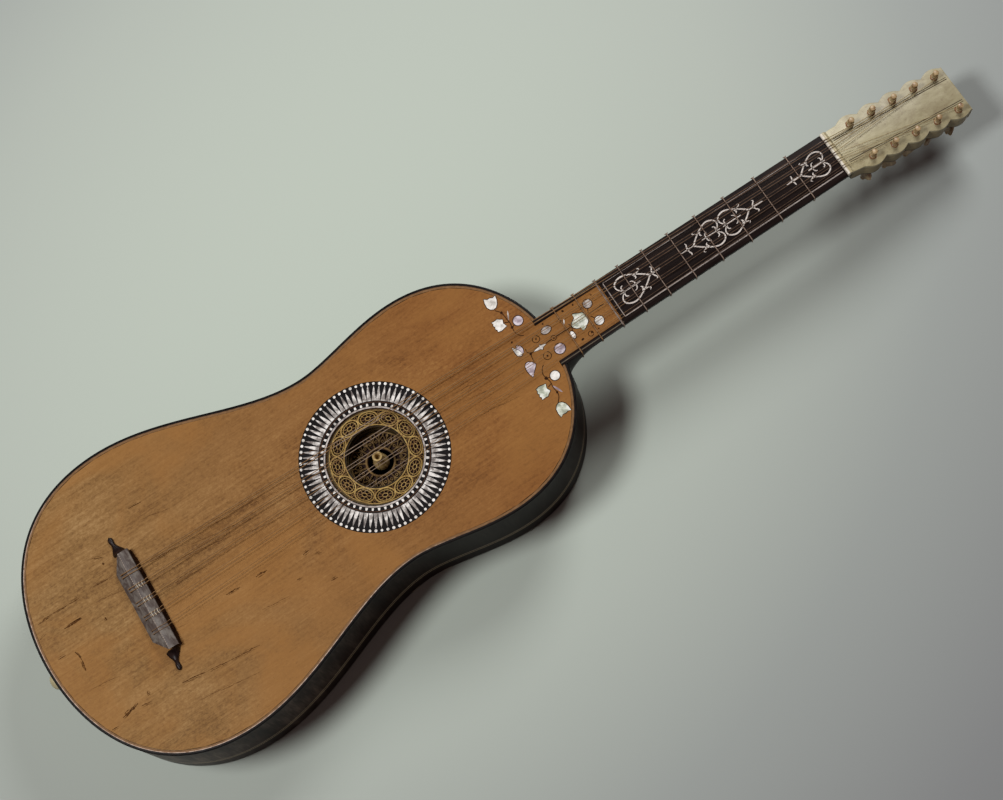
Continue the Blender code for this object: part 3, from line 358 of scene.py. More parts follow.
def makePegWood():
    one = Finish("pegBone", 0.36)
    fine = one.noise((300, 300, 90), 4.0, 0.6)
    base = one.ramp(fine, (0.3, (138, 110, 74)), (0.7, (196, 172, 130)))
    base = one.over(base, (104, 66, 42), one.noise((140, 140, 140), 3.0), (0.44, 0.0), (0.64, 0.8))
    return one.done(base, fine, 0.15)


stringTones = {
    "clean": ((114, 84, 53), (150, 117, 80)), "bare": ((128, 110, 94), (166, 146, 128)),
    "played": ((76, 58, 46), (112, 90, 72)), "spare": ((142, 124, 88), (178, 162, 124)),
}


def makeStringGut():
    # Old gut: paler over the rose, dirty from the fingers over the board, clean beyond the nut
    one = Finish("gutString", 0.42, 0.1)
    twist = one.noise((800, 300, 800), 3.0)
    tones = {key: one.ramp(twist, (0.3, dark), (0.7, light)) for key, (dark, light) in stringTones.items()}
    along = one.axis("Y")
    base = one.blend(one.within(along, -0.0245, 0.0245, 0.003), tones["clean"], tones["bare"])
    base = one.blend(one.within(along, 0.245, 0.60, 0.012), base, tones["played"])
    return one.done(one.blend(one.within(along, 0.4705, 0.70, 0.001), base, tones["spare"]))


floorSet = {
    "half": 6.0, "middle": (-0.153, 0.025), "turn": 23.4, "reach": (0.921, 1.125),
    # The tones, from the middle outwards, are a painted pool of light
    "tones": [
        (0.0, (190, 200, 188)), (0.15, (180, 188, 179)), (0.31, (162, 168, 164)), (0.55, (145, 148, 148)),
        (1.0, (122, 124, 124)),
    ],
}


def makeFloor():
    # Pale paper with a painted pool of light: brightest at its middle, darker outwards
    f = floorSet
    one = Finish("studioPaperPaintedLightPool", 0.9, 0.1)
    lightPool = one.add("ShaderNodeMapping", one.spot, vector_type="TEXTURE")
    lightPool.inputs["Location"].default_value = (*f["middle"], 0.0)
    lightPool.inputs["Rotation"].default_value = (0.0, 0.0, math.radians(f["turn"]))
    lightPool.inputs["Scale"].default_value = (*f["reach"], 1.0)
    spot = lightPool.outputs[0]
    reach = one.add("ShaderNodeVectorMath", spot, spot, operation="DOT_PRODUCT").outputs["Value"]
    return one.done(one.ramp(reach, *f["tones"]))


print("finishes")
finish = {
    "spruce": makeSpruce(),
    "ribWood": makeRibWood(),
    "backWood": makeBackWood(),
    "black": makeDarkWood("blackBinding", (11, 8, 7), (30, 25, 23), 0.45, 0.1),
    "ebony": makeDarkWood("ebony", (19, 11, 9), (47, 33, 28), 0.4, 0.12),
    "mastic": makeDarkWood("blackMastic", (14, 12, 13), (36, 31, 31), 0.5, 0.08),
    "neckWood": makeDarkWood("neckVeneer", (17, 11, 9), (44, 33, 28), 0.38, 0.15),
    "headSide": makeDarkWood("headSideBone", (126, 112, 82), (176, 162, 126), 0.45),
    "bridgeWood": makeBridgeWood("bridgeWood", (64, 52, 47), (92, 82, 76), (124, 118, 110)),
    # Dark wood of the finials, also painted shade on the bridge's front face
    "bridgeDark": makeBridgeWood("bridgeDarkWoodAndFrontShade", (15, 7, 6), (27, 15, 13), (44, 31, 28)),
    "pine": makePlain(
        "rawPine", 0.75, 0.5, (700, 20, 260), 5.0, 0.6,
        [(0.3, (166, 132, 88)), (0.7, (201, 170, 124))], 0.3, 0.0002
    ),
    "bone": makePlain(
        "agedBone", 0.42, 0.5, (260, 60, 260), 5.0, 0.6,
        [(0.25, (165, 152, 112)), (0.55, (186, 176, 138)), (0.8, (199, 191, 158))], 0.15, 0.0001
    ),
    "nutBone": makeNutBone(),
    "headBone": makeHeadBone(),
    "pegWood": makePegWood(),
    "parchmentGold": makeParchment("goldCord", (136, 104, 56), (186, 156, 92), (224, 200, 134)),
    "parchment": makeParchment("giltParchment", (78, 50, 30), (124, 94, 56), (172, 144, 90)),
    # Dark parchment for the sheets and pit under the rose, as painted shade
    "parchmentDark": makeParchment("shadedParchment", (28, 12, 9), (48, 25, 18), (70, 43, 30)),
    "parchmentOlive": makeParchment("borderParchment", (60, 48, 30), (92, 76, 48), (126, 108, 70)),
    "parchmentDim": makeParchment("lowerParchment", (86, 62, 34), (132, 104, 62), (172, 144, 94)),
    "parchmentPale": makeParchment("turretParchment", (140, 112, 66), (184, 158, 104), (218, 198, 150)),
    # Near-black parchment on the well's wall, as painted shade
    "wellShade": makeParchment("wellPaintedShade", (12, 6, 5), (24, 13, 10), (40, 26, 18)),
    "pearl": makePearl("pearlWhite", (186, 182, 174), (226, 222, 214), (250, 248, 242)),
    "pearlRing": makePearl("pearlOfRing", (110, 102, 98), (164, 158, 152), (238, 234, 228)),
    "pearlDim": makePearl("pearlDim", (134, 124, 118), (174, 164, 157), (206, 199, 192)),
    "pearlLilac": makePearl("pearlLilac", (140, 124, 130), (180, 166, 174), (222, 212, 218)),
    "pearlGreen": makePearl("pearlGreen", (156, 162, 144), (204, 210, 192), (240, 242, 232)),
    "paleLine": makePaleLine(),
    "ribLine": makeSlip("ribPaleLine", (92, 84, 70), (128, 118, 98)),
    "edgeSlip": makeSlip("edgeSlip", (108, 78, 48), (136, 102, 68)),
    "brownSlip": makeSlip("brownSlip", (66, 40, 26), (104, 70, 42)),
    "ivoryLine": makeSlip("ivoryLine", (138, 126, 118), (182, 172, 164)),
    "scroll": makeSlip("ivoryScroll", (196, 185, 176), (238, 231, 222)),
    "bridgeLine": makeSlip("bridgeRidgeLine", (120, 106, 96), (170, 156, 140)),
    "headLine": makeSlip("headDarkLine", (52, 42, 32), (84, 70, 52)),
    "headStain": makeSlip("headStain", (110, 68, 46), (142, 104, 74)),
    # Dark engraving, also used for the bridge's painted shadow on the belly
    "stain": makeSlip("darkEngravingAndBridgeShadow", (34, 19, 11), (66, 40, 22), 0.03),
    "crack": makeSlip("crackShade", (58, 34, 14), (94, 60, 28), 0.02),
    "worn": makeSlip("wornLine", (84, 54, 27), (108, 74, 40), 0.02),
    "gut": makeStringGut(),
    "fretGut": makeGut("fretGut", (112, 92, 80), (160, 140, 124)),
    "fretBrown": makeGut("brownFretGut", (118, 86, 54), (150, 116, 80)),
    "tieGut": makeGut("tiedGut", (150, 138, 116), (222, 212, 190)),
    "floor": makeFloor(),
}


def dress(finishName, *names):
    for name in names:
        piece = bpy.data.objects[name]
        piece.data.materials.clear()
        piece.data.materials.append(finish[finishName])


# Floor and light

def makeStage():
    sheet = bpy.data.meshes.new("studioFloor")
    wide = floorSet["half"]
    corners = [(-wide, -wide, 0), (wide, -wide, 0), (wide, wide, 0), (-wide, wide, 0)]
    sheet.from_pydata(corners, [], [(0, 1, 2, 3)])
    floor = bpy.data.objects.new("studioFloor", sheet)
    bpy.context.scene.collection.objects.link(floor)
    sheet.materials.append(finish["floor"])


lampSet = {
    "lamps": {
        "high": {"place": (-0.21, -0.97, 2.27), "wide": 0.68, "power": 38.0},
        "low": {"place": (-1.00, 1.32, 1.36), "wide": 0.86, "power": 23.7},
    },
    "sky": 0.085, "skyTint": (1.0, 0.66, 0.66),
}


def makeLamps():
    for name, facts in lampSet["lamps"].items():
        lamp = bpy.data.lights.new(name, "AREA")
        lamp.energy = facts["power"]
        lamp.shape = "DISK"
        lamp.size = facts["wide"]
        stand = bpy.data.objects.new(name, lamp)
        bpy.context.scene.collection.objects.link(stand)
        place = Vector(facts["place"])
        aim = (-place).to_track_quat("-Z", "Y")
        stand.matrix_world = Matrix.Translation(place) @ aim.to_matrix().to_4x4()
    sky = bpy.data.worlds.new("studio")
    sky.use_nodes = True
    back = sky.node_tree.nodes["Background"]
    back.inputs["Color"].default_value = (*lampSet["skyTint"], 1.0)
    back.inputs["Strength"].default_value = lampSet["sky"]
    bpy.context.scene.world = sky


print("camera, floor and lamps")
setCamera()
makeStage()
makeLamps()


# Building pieces from points

def addPiece(name, mesh, finishName, body=bodyRoot, place=None, smooth=None, node=None):
    # Turns a bmesh into an object that rides on a body and, where named, stands for a solid.
    # Edges flatter than smooth, in degrees, are softened.
    if place is not None:
        mesh.transform(place)
    bmesh.ops.recalc_face_normals(mesh, faces=mesh.faces)
    data = bpy.data.meshes.new(name)
    mesh.to_mesh(data)
    mesh.free()
    if smooth:
        for face in data.polygons:
            face.use_smooth = True
        data.set_sharp_from_angle(angle=math.radians(smooth))
    piece = bpy.data.objects.new(name, data)
    bpy.context.scene.collection.objects.link(piece)
    data.materials.append(finish[finishName])
    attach(piece, body)
    if node:
        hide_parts(node)


def loftInto(mesh, rings, closed=False):
    # Skins a row of point rings, each with the same number of points
    rings = [[mesh.verts.new([value * mm for value in spot]) for spot in ring] for ring in rings]
    pairs = list(zip(rings, rings[1:]))
    if closed:
        pairs.append((rings[-1], rings[0]))
    count = len(rings[0])
    for first, second in pairs:
        for i in range(count):
            j = (i + 1) % count
            mesh.faces.new((first[i], first[j], second[j], second[i]))
    if not closed:
        mesh.faces.new(list(reversed(rings[0])))
        mesh.faces.new(rings[-1])


def slabInto(mesh, outline, low, high):
    # A flat plate with straight walls
    loftInto(mesh, [[(x, y, z) for x, y in outline] for z in (low, high)])


def barInto(mesh, left, right, start, end, low, high):
    slabInto(mesh, [(left, start), (right, start), (right, end), (left, end)], low, high)


def polar(radius, degrees, centre=(0.0, 0.0)):
    a = math.radians(degrees)
    return (centre[0] + radius * math.cos(a), centre[1] + radius * math.sin(a))


def circle(radius, steps, centre=(0.0, 0.0)):
    return [polar(radius, 360 * i / steps, centre) for i in range(steps)]


def placed(form, centre, turn=0.0, size=1.0, flip=1):
    # A drawn form, mirrored, turned, scaled and set down
    c, s = math.cos(math.radians(turn)), math.sin(math.radians(turn))
    return [
        (centre[0] + size * (flip * u * c - v * s), centre[1] + size * (flip * u * s + v * c))
        for u, v in form
    ]


def ringInto(mesh, inner, outer, low, high, steps=96, centre=(0.0, 0.0), rim=0.0):
    # A flat ring, its upper edges eased by rim
    profile = [(outer, low), (outer, high), (inner, high), (inner, low)]
    if rim:
        profile[1:3] = [(outer, high - rim), (outer - rim, high), (inner + rim, high), (inner, high - rim)]
    rings = [[(*polar(r, 360 * i / steps, centre), z) for r, z in profile] for i in range(steps)]
    loftInto(mesh, rings, closed=True)


def turnedInto(mesh, profile, steps=32, centre=(0.0, 0.0)):
    # Round body from radius and height pairs
    least = 0.001
    rings = [(circle(max(radius, least), steps, centre), z) for radius, z in profile]
    loftInto(mesh, [[(x, y, z) for x, y in ring] for ring, z in rings])


def ribbonInto(mesh, path, widths, low, high):
    # A flat strip along a drawn line; widths is one number or one for each point
    path = [Vector(p) for p in path]
    last = len(path) - 1
    rings = []
    for i, spot in enumerate(path):
        along = (path[min(i + 1, last)] - path[max(i - 1, 0)]).normalized()
        half = (widths[i] if isinstance(widths, list) else widths) / 2
        off = Vector((-along.y, along.x)) * half
        left, right = spot + off, spot - off
        rings.append([(*left, low), (*right, low), (*right, high), (*left, high)])
    loftInto(mesh, rings)


def tubeInto(mesh, path, radius, sides, closed=False):
    # A round cord along points in space
    path = [Vector(p) for p in path]
    count = len(path)
    side = None
    rings = []
    for i, spot in enumerate(path):
        before = path[(i - 1) % count] if closed else path[max(i - 1, 0)]
        after = path[(i + 1) % count] if closed else path[min(i + 1, count - 1)]
        along = (after - before).normalized()
        if side is None:
            side = along.orthogonal().normalized()
        side = (side - along * side.dot(along)).normalized()
        over = along.cross(side)
        rings.append([spot + side * u + over * v for u, v in circle(radius, sides)])
    loftInto(mesh, rings, closed=closed)


def hoopInto(mesh, loop, height, radius, sides):
    # A closed cord that lies level
    tubeInto(mesh, [(x, y, height) for x, y in loop], radius, sides, closed=True)


def blotInto(mesh, centre, radius, steps, spread, seed, low, high):
    # A round stain with an uneven edge
    rng = random.Random(seed)
    outline = [polar(radius * rng.uniform(*spread), 360 * i / steps, centre) for i in range(steps)]
    slabInto(mesh, outline, low, high)


def spotInto(mesh, centre, radius, low, high, steps=20, squeeze=1.0):
    # A round or oval inlay
    outline = [(centre[0] + x, centre[1] + squeeze * y) for x, y in circle(radius, steps)]
    slabInto(mesh, outline, low, high)


def flow(points, steps=6, closed=False):
    # A smooth line through the given points, in two or three directions
    points = [Vector(p) for p in points]
    count = len(points)
    line = []
    for i in range(count if closed else count - 1):
        a = points[(i - 1) % count] if closed or i else points[0] * 2 - points[1]
        b = points[i]
        c = points[(i + 1) % count]
        d = points[(i + 2) % count] if closed or i + 2 < count else c * 2 - b
        for k in range(steps):
            t = k / steps
            bent = (c - a) * t + (2 * a - 5 * b + 4 * c - d) * t * t + (3 * b - a - 3 * c + d) * t ** 3
            line.append(0.5 * (2 * b + bent))
    if not closed:
        line.append(points[-1])
    return line


# The body's outline, tail to neck joint on the treble side

bodyForm = {
    "lower": (141.1, -205.7), "waist": (95.0, -18.0), "upper": (108.5, 78.3),
    "tail": (0.0, -331.1), "joint": (23.9, 180.0),
    "tailBend": 66.3, "lowerBends": (92.2, 69.2), "waistBends": (57.8, 26.3),
    "upperBends": (35.3, 85.0), "jointBend": 7.0,
    "backThick": 3.0, "bellyThick": 2.4, "ribThick": 2.2,
    "binding": 2.3, "paleTo": 2.85, "slipTo": 4.35,  # the edging's strips, from the outer edge inwards
    "steps": 36,
}
bellyUnder = bellyTop - bodyForm["bellyThick"]
bedTop = bellyUnder - gap  # the upper face of all that carries the belly


def bend(knots, steps):
    # One bend from the first knot to the last, led by the two between them
    line = []
    for i in range(steps):
        t = i / steps
        s = 1 - t
        shares = (s ** 3, 3 * s * s * t, 3 * s * t * t, t ** 3)
        line.append(tuple(sum(share * knot[k] for share, knot in zip(shares, knots)) for k in (0, 1)))
    return line


def bodyLine():
    f = bodyForm
    tail, joint, steps = f["tail"], f["joint"], f["steps"]

    def led(name):
        # A knot with the two points below and above it that lead its bends
        (x, y), (below, above) = f[name], f[name + "Bends"]
        return (x, y - below), (x, y), (x, y + above)

    lower, waist, upper = led("lower"), led("waist"), led("upper")
    line = bend((tail, (f["tailBend"], tail[1]), *lower[:2]), steps)
    line += bend((*lower[1:], *waist[:2]), steps)
    line += bend((*waist[1:], *upper[:2]), steps // 2)
    line += bend((*upper[1:], (joint[0] + f["jointBend"], joint[1]), joint), steps)
    return line + [joint]


def drawnIn(distance):
    # The body's outline moved square to itself, inwards
    line = bodyLine()
    last = len(line) - 1
    moved = []
    for i, spot in enumerate(line):
        along = (Vector(line[min(i + 1, last)]) - Vector(line[max(i - 1, 0)])).normalized()
        if i in (0, last):
            along = Vector((1.0 if i == 0 else -1.0, 0.0))
        moved.append((spot[0] - along.y * distance, spot[1] + along.x * distance))
    return moved


def edgeBand(name, finishName, profile, node=None):
    # Sweeps a section of depths inwards and heights along the whole outline, joint to joint
    cuts = [drawnIn(depth) for depth, height in profile]
    last = len(cuts[0]) - 1
    order = [(-1, i) for i in range(last, 0, -1)] + [(1, i) for i in range(last + 1)]
    mesh = bmesh.new()
    loftInto(mesh, [
        [(side * cut[i][0], cut[i][1], height) for cut, (depth, height) in zip(cuts, profile)]
        for side, i in order
    ])
    addPiece(name, mesh, finishName, smooth=50, node=node)


def makeEdges():
    # Black binding, a pale line, then a brown slip
    black, pale, slip = (bodyForm[k] for k in ("binding", "paleTo", "slipTo"))
    rounded = [(0.0, bellyTop - 0.7), (0.12, bellyTop - 0.25), (0.5, bellyTop)]
    profile = [(0.0, bellyUnder), *rounded, (black, bellyTop), (black, bellyUnder)]
    edgeBand("bellyBindingBlack", "black", profile, "belly_binding")
    level = bellyTop - 0.02
    for name, finishName, start, end in (
        ("bellyBindingPaleLine", "paleLine", black, pale), ("bellyBindingSlip", "edgeSlip", pale, slip),
    ):
        edgeBand(name, finishName, [(start, bellyUnder), (start, level), (end, level), (end, bellyUnder)])


def makeRibs():
    # Bent sides in two halves, finer than the solids they stand for
    low, count = bodyForm["backThick"], 8
    levels = [low + (bellyUnder - low) * k / count for k in range(count + 1)]
    outer, inner = drawnIn(gap), drawnIn(gap + bodyForm["ribThick"])
    for name, side, node in (("ribTreble", 1, "rib_treble"), ("ribBass", -1, "rib_bass")):
        rings = []
        for i in range(len(outer)):
            seam = 0.1 if i == 0 else 0.0  # half of the seam at the tail
            walls = ((outer[i], levels), (inner[i], levels[::-1]))
            rings.append([(side * (x + seam), y, z) for (x, y), heights in walls for z in heights])
        mesh = bmesh.new()
        loftInto(mesh, rings)
        addPiece(name, mesh, "ribWood", smooth=50, node=node)


def makeBack():
    # The flat back with softly rounded edges
    rings = []
    for depth, height in ((0.8, 0.0), (0.25, 0.2), (0.0, 0.8), (0.0, bodyForm["backThick"])):
        right = drawnIn(gap + depth)
        rings.append([(x, y, height) for x, y in right] + [(-x, y, height) for x, y in reversed(right[1:])])
    mesh = bmesh.new()
    loftInto(mesh, rings)
    addPiece("backPlate", mesh, "backWood", smooth=50, node="back")


# Inlaid ring round the soundhole

inlay = {"deep": 0.5, "proud": 0.05}  # how far plates go into the belly, and stand above it
inlayLow, inlayHigh = bellyTop - inlay["deep"], bellyTop + inlay["proud"]

rosetteForm = {
    "inner": 42.3, "outer": 66.0, "ground": 1.0, "wedges": 78, "turn": 1.6,
    "wedgeFrom": 49.2, "wedgeTo": 62.6, "wedgeShare": 0.45, "dotsAt": 64.3, "dot": 1.27,
    "squares": 53, "squaresAt": 45.95, "squareTurn": 0.3, "square": 1.15, "squareLong": 1.15,
    "paleRing": (42.9, 44.2), "thinRing": (47.75, 48.15),
}


def makeRosette():
    f = rosetteForm
    low, high = inlayLow, inlayHigh
    ground, wedges, dots, squares, pale, thin = (bmesh.new() for k in range(6))
    ringInto(ground, f["inner"], f["outer"], bellyTop - f["ground"], bellyTop, 192)
    addPiece("rosetteGround", ground, "mastic", smooth=40, node="rosette_ring")
    rng = random.Random(3)
    step = 360 / f["wedges"]
    wide, start = step * f["wedgeShare"], f["wedgeFrom"]
    for i in range(f["wedges"]):
        middle = f["turn"] + i * step + rng.uniform(-0.25, 0.25)
        reach = f["wedgeTo"] + rng.uniform(-0.5, 0.4)
        half = [(start, 1.0), (start + 0.5, 0.98), (start + 5.0, 0.7), (reach - 2.5, 0.3)]
        spots = [(r, -share) for r, share in half] + [(reach, 0.0)] + half[::-1]
        slabInto(wedges, [polar(r, middle + share * wide) for r, share in spots], low, high)
    addPiece("rosetteWedges", wedges, "pearlRing")
    for i in range(f["wedges"]):
        size = f["dot"] * rng.uniform(0.85, 1.08)
        spotInto(dots, polar(f["dotsAt"], f["turn"] + i * step), size, low, high, 10)
    addPiece("rosetteDots", dots, "pearl")
    for i in range(f["squares"]):
        turn = f["squareTurn"] + 360 * i / f["squares"]
        corners = [(u * f["squareLong"], v) for u, v in ((-1, -1), (-1, 1), (0.9, 0.7), (0.9, -0.7))]
        size = f["square"] * rng.uniform(0.85, 1.05)
        slabInto(squares, placed(corners, polar(f["squaresAt"], turn), turn, size), low, high)
    addPiece("rosetteSquares", squares, "pearl")
    ringInto(pale, *f["paleRing"], low, high, 160)
    addPiece("rosettePaleRing", pale, "pearlDim", smooth=40)
    ringInto(thin, *f["thinRing"], low, high, 160)
    addPiece("rosetteThinLines", thin, "brownSlip", smooth=40)


# The sunk parchment rose

roseForm = {
    "centre": (0.2, 1.2), "open": 27.6, "paper": 1.2,
    "border": (40.6, 45.0), "wheels": 12, "turn": 11.0, "wheelsAt": 34.5, "wheelDeep": 6.0, "wheelWide": 8.7,
    # Cords of a wheel: share of its size, corners, lift, thickness, sides
    "wheelCords": [(1.0, 36, 0.15, 0.65, 6), (0.74, 28, -0.1, 0.32, 5), (0.27, 14, 0.1, 0.36, 5)],
    "scrolls": [
        [(40.6, 3.5), (39.6, 5.6), (38.6, 4.6), (39.2, 3.2)],
        [(28.2, 4.0), (28.9, 6.4), (30.0, 5.2), (29.4, 3.6)],
    ],
    "depth": 19.0, "wall": 1.1, "windows": 24, "window": (2.8, 3.4), "windowRows": [(4.6, 0.0), (13.6, 0.5)],
    "wallCords": (0.6, 9.1, 18.2), "floorArches": 20,
    "arch": [(13.2, -0.9), (18.6, -0.85), (22.8, 0.0), (18.6, 0.85), (13.2, 0.9)],
}
floorTop = bedTop - roseForm["depth"] - gap
floorLow = floorTop - roseForm["paper"]


def onRose(radius, degrees):
    return polar(radius, degrees, roseForm["centre"])


def spokeInto(mesh, start, end, degrees, wide, low, high):
    # A straight bar from one radius of the rose to another
    ribbonInto(mesh, [onRose(start, degrees), onRose(end, degrees)], wide, low, high)


def makeUpperTier():
    f = roseForm
    centre, hole = f["centre"], f["open"]
    top, low = bedTop, bedTop - f["paper"]
    border, lace, cords, shadeSheet = (bmesh.new() for k in range(4))
    ringInto(border, *f["border"], low, top, 144, centre)
    addPiece("roseUpperBorder", border, "parchmentOlive", smooth=35)
    for radius, thick in ((40.8, 0.45), (43.9, 0.4), (hole + 0.5, 0.6)):
        hoopInto(cords, circle(radius, 120, centre), top + 0.05, thick, 6)
    step = 360 / f["wheels"]
    for i in range(f["wheels"]):
        middle = f["turn"] + i * step
        hub = onRose(f["wheelsAt"], middle)

        def near(spots):
            # Spots on ovals round the hub, flattened towards the centre of the rose
            flat = [polar(size, degrees) for size, degrees in spots]
            return placed([(u * f["wheelDeep"], v * f["wheelWide"]) for u, v in flat], hub, middle)

        for size, steps, lift, thick, sides in f["wheelCords"]:
            hoopInto(cords, near([(size, 360 * k / steps) for k in range(steps)]), top + lift, thick, sides)
        for a in range(0, 360, 45):
            ribbonInto(lace, near([(0.28, a), (0.5, a + 7), (0.76, a)]), [0.5, 0.85, 0.5], low, top + 0.05)
            ribbonInto(lace, near([(0.76, a + 22), (1.0, a + 22)]), 0.55, low, top)
            ribbonInto(lace, near([(0.76, a), (1.0, a)]), 0.45, low, top)
        # Ties between neighbouring wheels and to both borders
        between = middle + step / 2
        for radius, size in ((39.0, 1.3), (30.0, 0.9)):
            ringInto(lace, size - 0.55, size, low, top + 0.15, 16, onRose(radius, between), 0.1)
        for start, end, wide in ((hole + 0.5, 29.3, 0.6), (30.8, 37.8, 0.6), (40.1, 41.0, 0.7)):
            spokeInto(lace, start, end, between, wide, low, top)
        spokeInto(lace, f["wheelsAt"] + f["wheelDeep"] - 0.2, 41.0, middle, 1.0, low, top)
        # Little scrolls in the corners by both borders
        for side in (-1, 1):
            for points in f["scrolls"]:
                scroll = flow([onRose(r, between + side * t) for r, t in points], 4)
                ribbonInto(lace, scroll, 0.55, low, top + 0.05)
    ringInto(lace, hole, hole + 1.1, low, top, 120, centre, 0.2)
    addPiece("roseUpperLace", lace, "parchment", smooth=35, node="rose_upper_tier")
    addPiece("roseCords", cords, "parchmentGold", smooth=60)
    # A dark sheet of painted shade under the lace, so that the holes read deep but not through
    ringInto(shadeSheet, hole + 0.1, f["border"][1] - 0.2, low - 2.2, low - 1.9, 96, centre)
    addPiece("roseShadeSheet", shadeSheet, "parchmentDark")


def makeWell():
    # The well's wall, with two rows of windows drawn as raised hoops
    f = roseForm
    centre, inside = f["centre"], f["open"] - f["wall"]
    wall, hoops = bmesh.new(), bmesh.new()
    # The wall is coloured near black as painted shade
    ringInto(wall, inside, f["open"], bedTop - f["depth"], bedTop - 0.1, 120, centre)
    addPiece("roseWell", wall, "wellShade", smooth=40, node="rose_well")
    wide, tall = f["window"]
    for depth, shift in f["windowRows"]:
        for i in range(f["windows"]):
            middle = 360 * (i + shift) / f["windows"]
            loop = []
            for u, v in circle(1.0, 14):
                around = middle + math.degrees(wide * u / inside)
                loop.append((*onRose(inside, around), bedTop - depth - tall * v))
            tubeInto(hoops, loop, 0.3, 5, closed=True)
    for depth in f["wallCords"]:
        hoopInto(hoops, circle(inside, 72, centre), bedTop - depth, 0.4, 6)
    addPiece("roseWellTracery", hoops, "parchmentOlive", smooth=60)


def makeLowerTier():
    # A floor of small arches round an open middle
    f = roseForm
    centre, hole = f["centre"], f["open"]
    low, top = floorLow, floorTop
    floor, shadeSheet = bmesh.new(), bmesh.new()
    ringInto(floor, hole - 2.2, hole - 0.1, low, top, 96, centre)
    ringInto(floor, 11.6, 13.4, low, top + 0.7, 72, centre, 0.4)
    half = 180 / f["floorArches"]
    for i in range(f["floorArches"]):
        a = 2 * half * i
        ribbonInto(floor, flow([onRose(r, a + half * t) for r, t in f["arch"]], 5), 0.7, low, top + 0.25)
        spokeInto(floor, 22.5, 25.6, a, 0.8, low, top)
        spokeInto(floor, 17.6, 25.6, a + half, 0.6, low, top)
        ringInto(floor, 0.7, 1.35, low, top + 0.2, 12, onRose(18.2, a), 0.1)
        ringInto(floor, 0.5, 1.1, low, top + 0.1, 12, onRose(23.4, a + half), 0.1)
    addPiece("roseLowerLace", floor, "parchmentDim", smooth=35, node="rose_lower_tier")
    # A dark sheet of painted shade under the floor's lace
    ringInto(shadeSheet, 12.4, hole - 0.1, low - 1.6, low - 1.3, 72, centre)
    addPiece("roseLowerShadeSheet", shadeSheet, "parchmentDark")


turretForm = {
    "lean": (0.3, 0.6), "crown": 1.2, "stand": 3.0, "ribs": 6, "ribTurn": 17.189,
    "pit": (11.0, 12.2), "pitFloor": 1.2,
    # Radius, and share of the height counted down from the crown
    "profile": [
        (0.0, 1.0), (7.0, 1.0), (7.0, 0.87), (6.75, 0.82), (6.9, 0.78), (6.6, 0.68), (5.9, 0.57),
        (5.0, 0.46), (4.2, 0.35), (3.75, 0.25), (3.6, 0.15), (3.5, 0.11), (4.3, 0.085), (4.5, 0.05),
        (4.35, 0.012), (3.9, 0.0), (3.0, 0.01), (2.45, 0.05), (2.2, 0.14), (1.9, 0.30), (0.0, 0.31),
    ],
    "rib": [(7.0, 0.86), (6.75, 0.70), (5.6, 0.54), (4.3, 0.36), (3.75, 0.2), (3.6, 0.12)],
}


def makeTurret():
    # The turret stands in a round pit and opens in a ring at its top
    f = turretForm
    centre = roseForm["centre"]
    lean = (centre[0] + f["lean"][0], centre[1] + f["lean"][1])
    crown = bellyTop - f["crown"]
    foot = floorLow - gap - f["stand"]
    rise = crown - foot
    stem, pit = bmesh.new(), bmesh.new()
    turnedInto(stem, [(radius, crown - share * rise) for radius, share in f["profile"]], 36, lean)
    for i in range(f["ribs"]):
        a = f["ribTurn"] + 360 * i / f["ribs"]
        path = [(*polar(radius + 0.1, a, lean), crown - share * rise) for radius, share in f["rib"]]
        tubeInto(stem, flow(path, 4), 0.3, 6)
    addPiece("roseTurret", stem, "parchmentPale", smooth=50, node="rose_turret")
    # The pit is coloured near black as painted shade
    inner, outer = f["pit"]
    rim, under = floorLow - gap, foot - f["pitFloor"]
    profile = [(outer, rim), (outer, under), (1.0, under), (1.0, foot), (inner, foot), (inner, rim)]
    turnedInto(pit, profile, 48, centre)
    addPiece("rosePit", pit, "parchmentDark", smooth=40)


# Mother-of-pearl garden on the upper belly and tongue

tulipForm = [
    (5.6, 5.2), (4.4, 2.6), (5.0, 0.1), (4.4, -2.3), (5.8, -5.0), (2.0, -5.3), (-2.2, -4.6), (-4.8, -2.4),
    (-5.6, 0.2), (-4.6, 2.7), (-2.0, 4.6), (1.8, 5.3),
]
blossomForm = [
    (-2.6, 5.0), (0.6, 3.6), (4.4, 4.9), (4.9, 1.6), (5.4, -0.8), (4.7, -3.9), (2.9, -3.6), (1.3, -4.6),
    (-0.4, -3.8), (-2.1, -4.7), (-3.4, -3.7), (-5.3, -4.4), (-5.0, -1.2), (-5.4, 1.0), (-4.0, 2.6),
]
crownForm = [
    (-5.5, 6.0), (-2.6, 7.0), (0.6, 7.1), (3.8, 6.4), (5.6, 4.2), (7.0, 2.2), (8.4, -1.0), (6.4, -1.9),
    (4.9, -1.6), (4.6, -3.2), (3.6, -5.2), (1.6, -7.0), (-0.4, -7.4), (-2.4, -6.2), (-3.8, -4.4),
    (-4.6, -2.6), (-6.4, -1.9), (-8.9, -1.5), (-7.6, 1.4), (-6.4, 3.4),
]
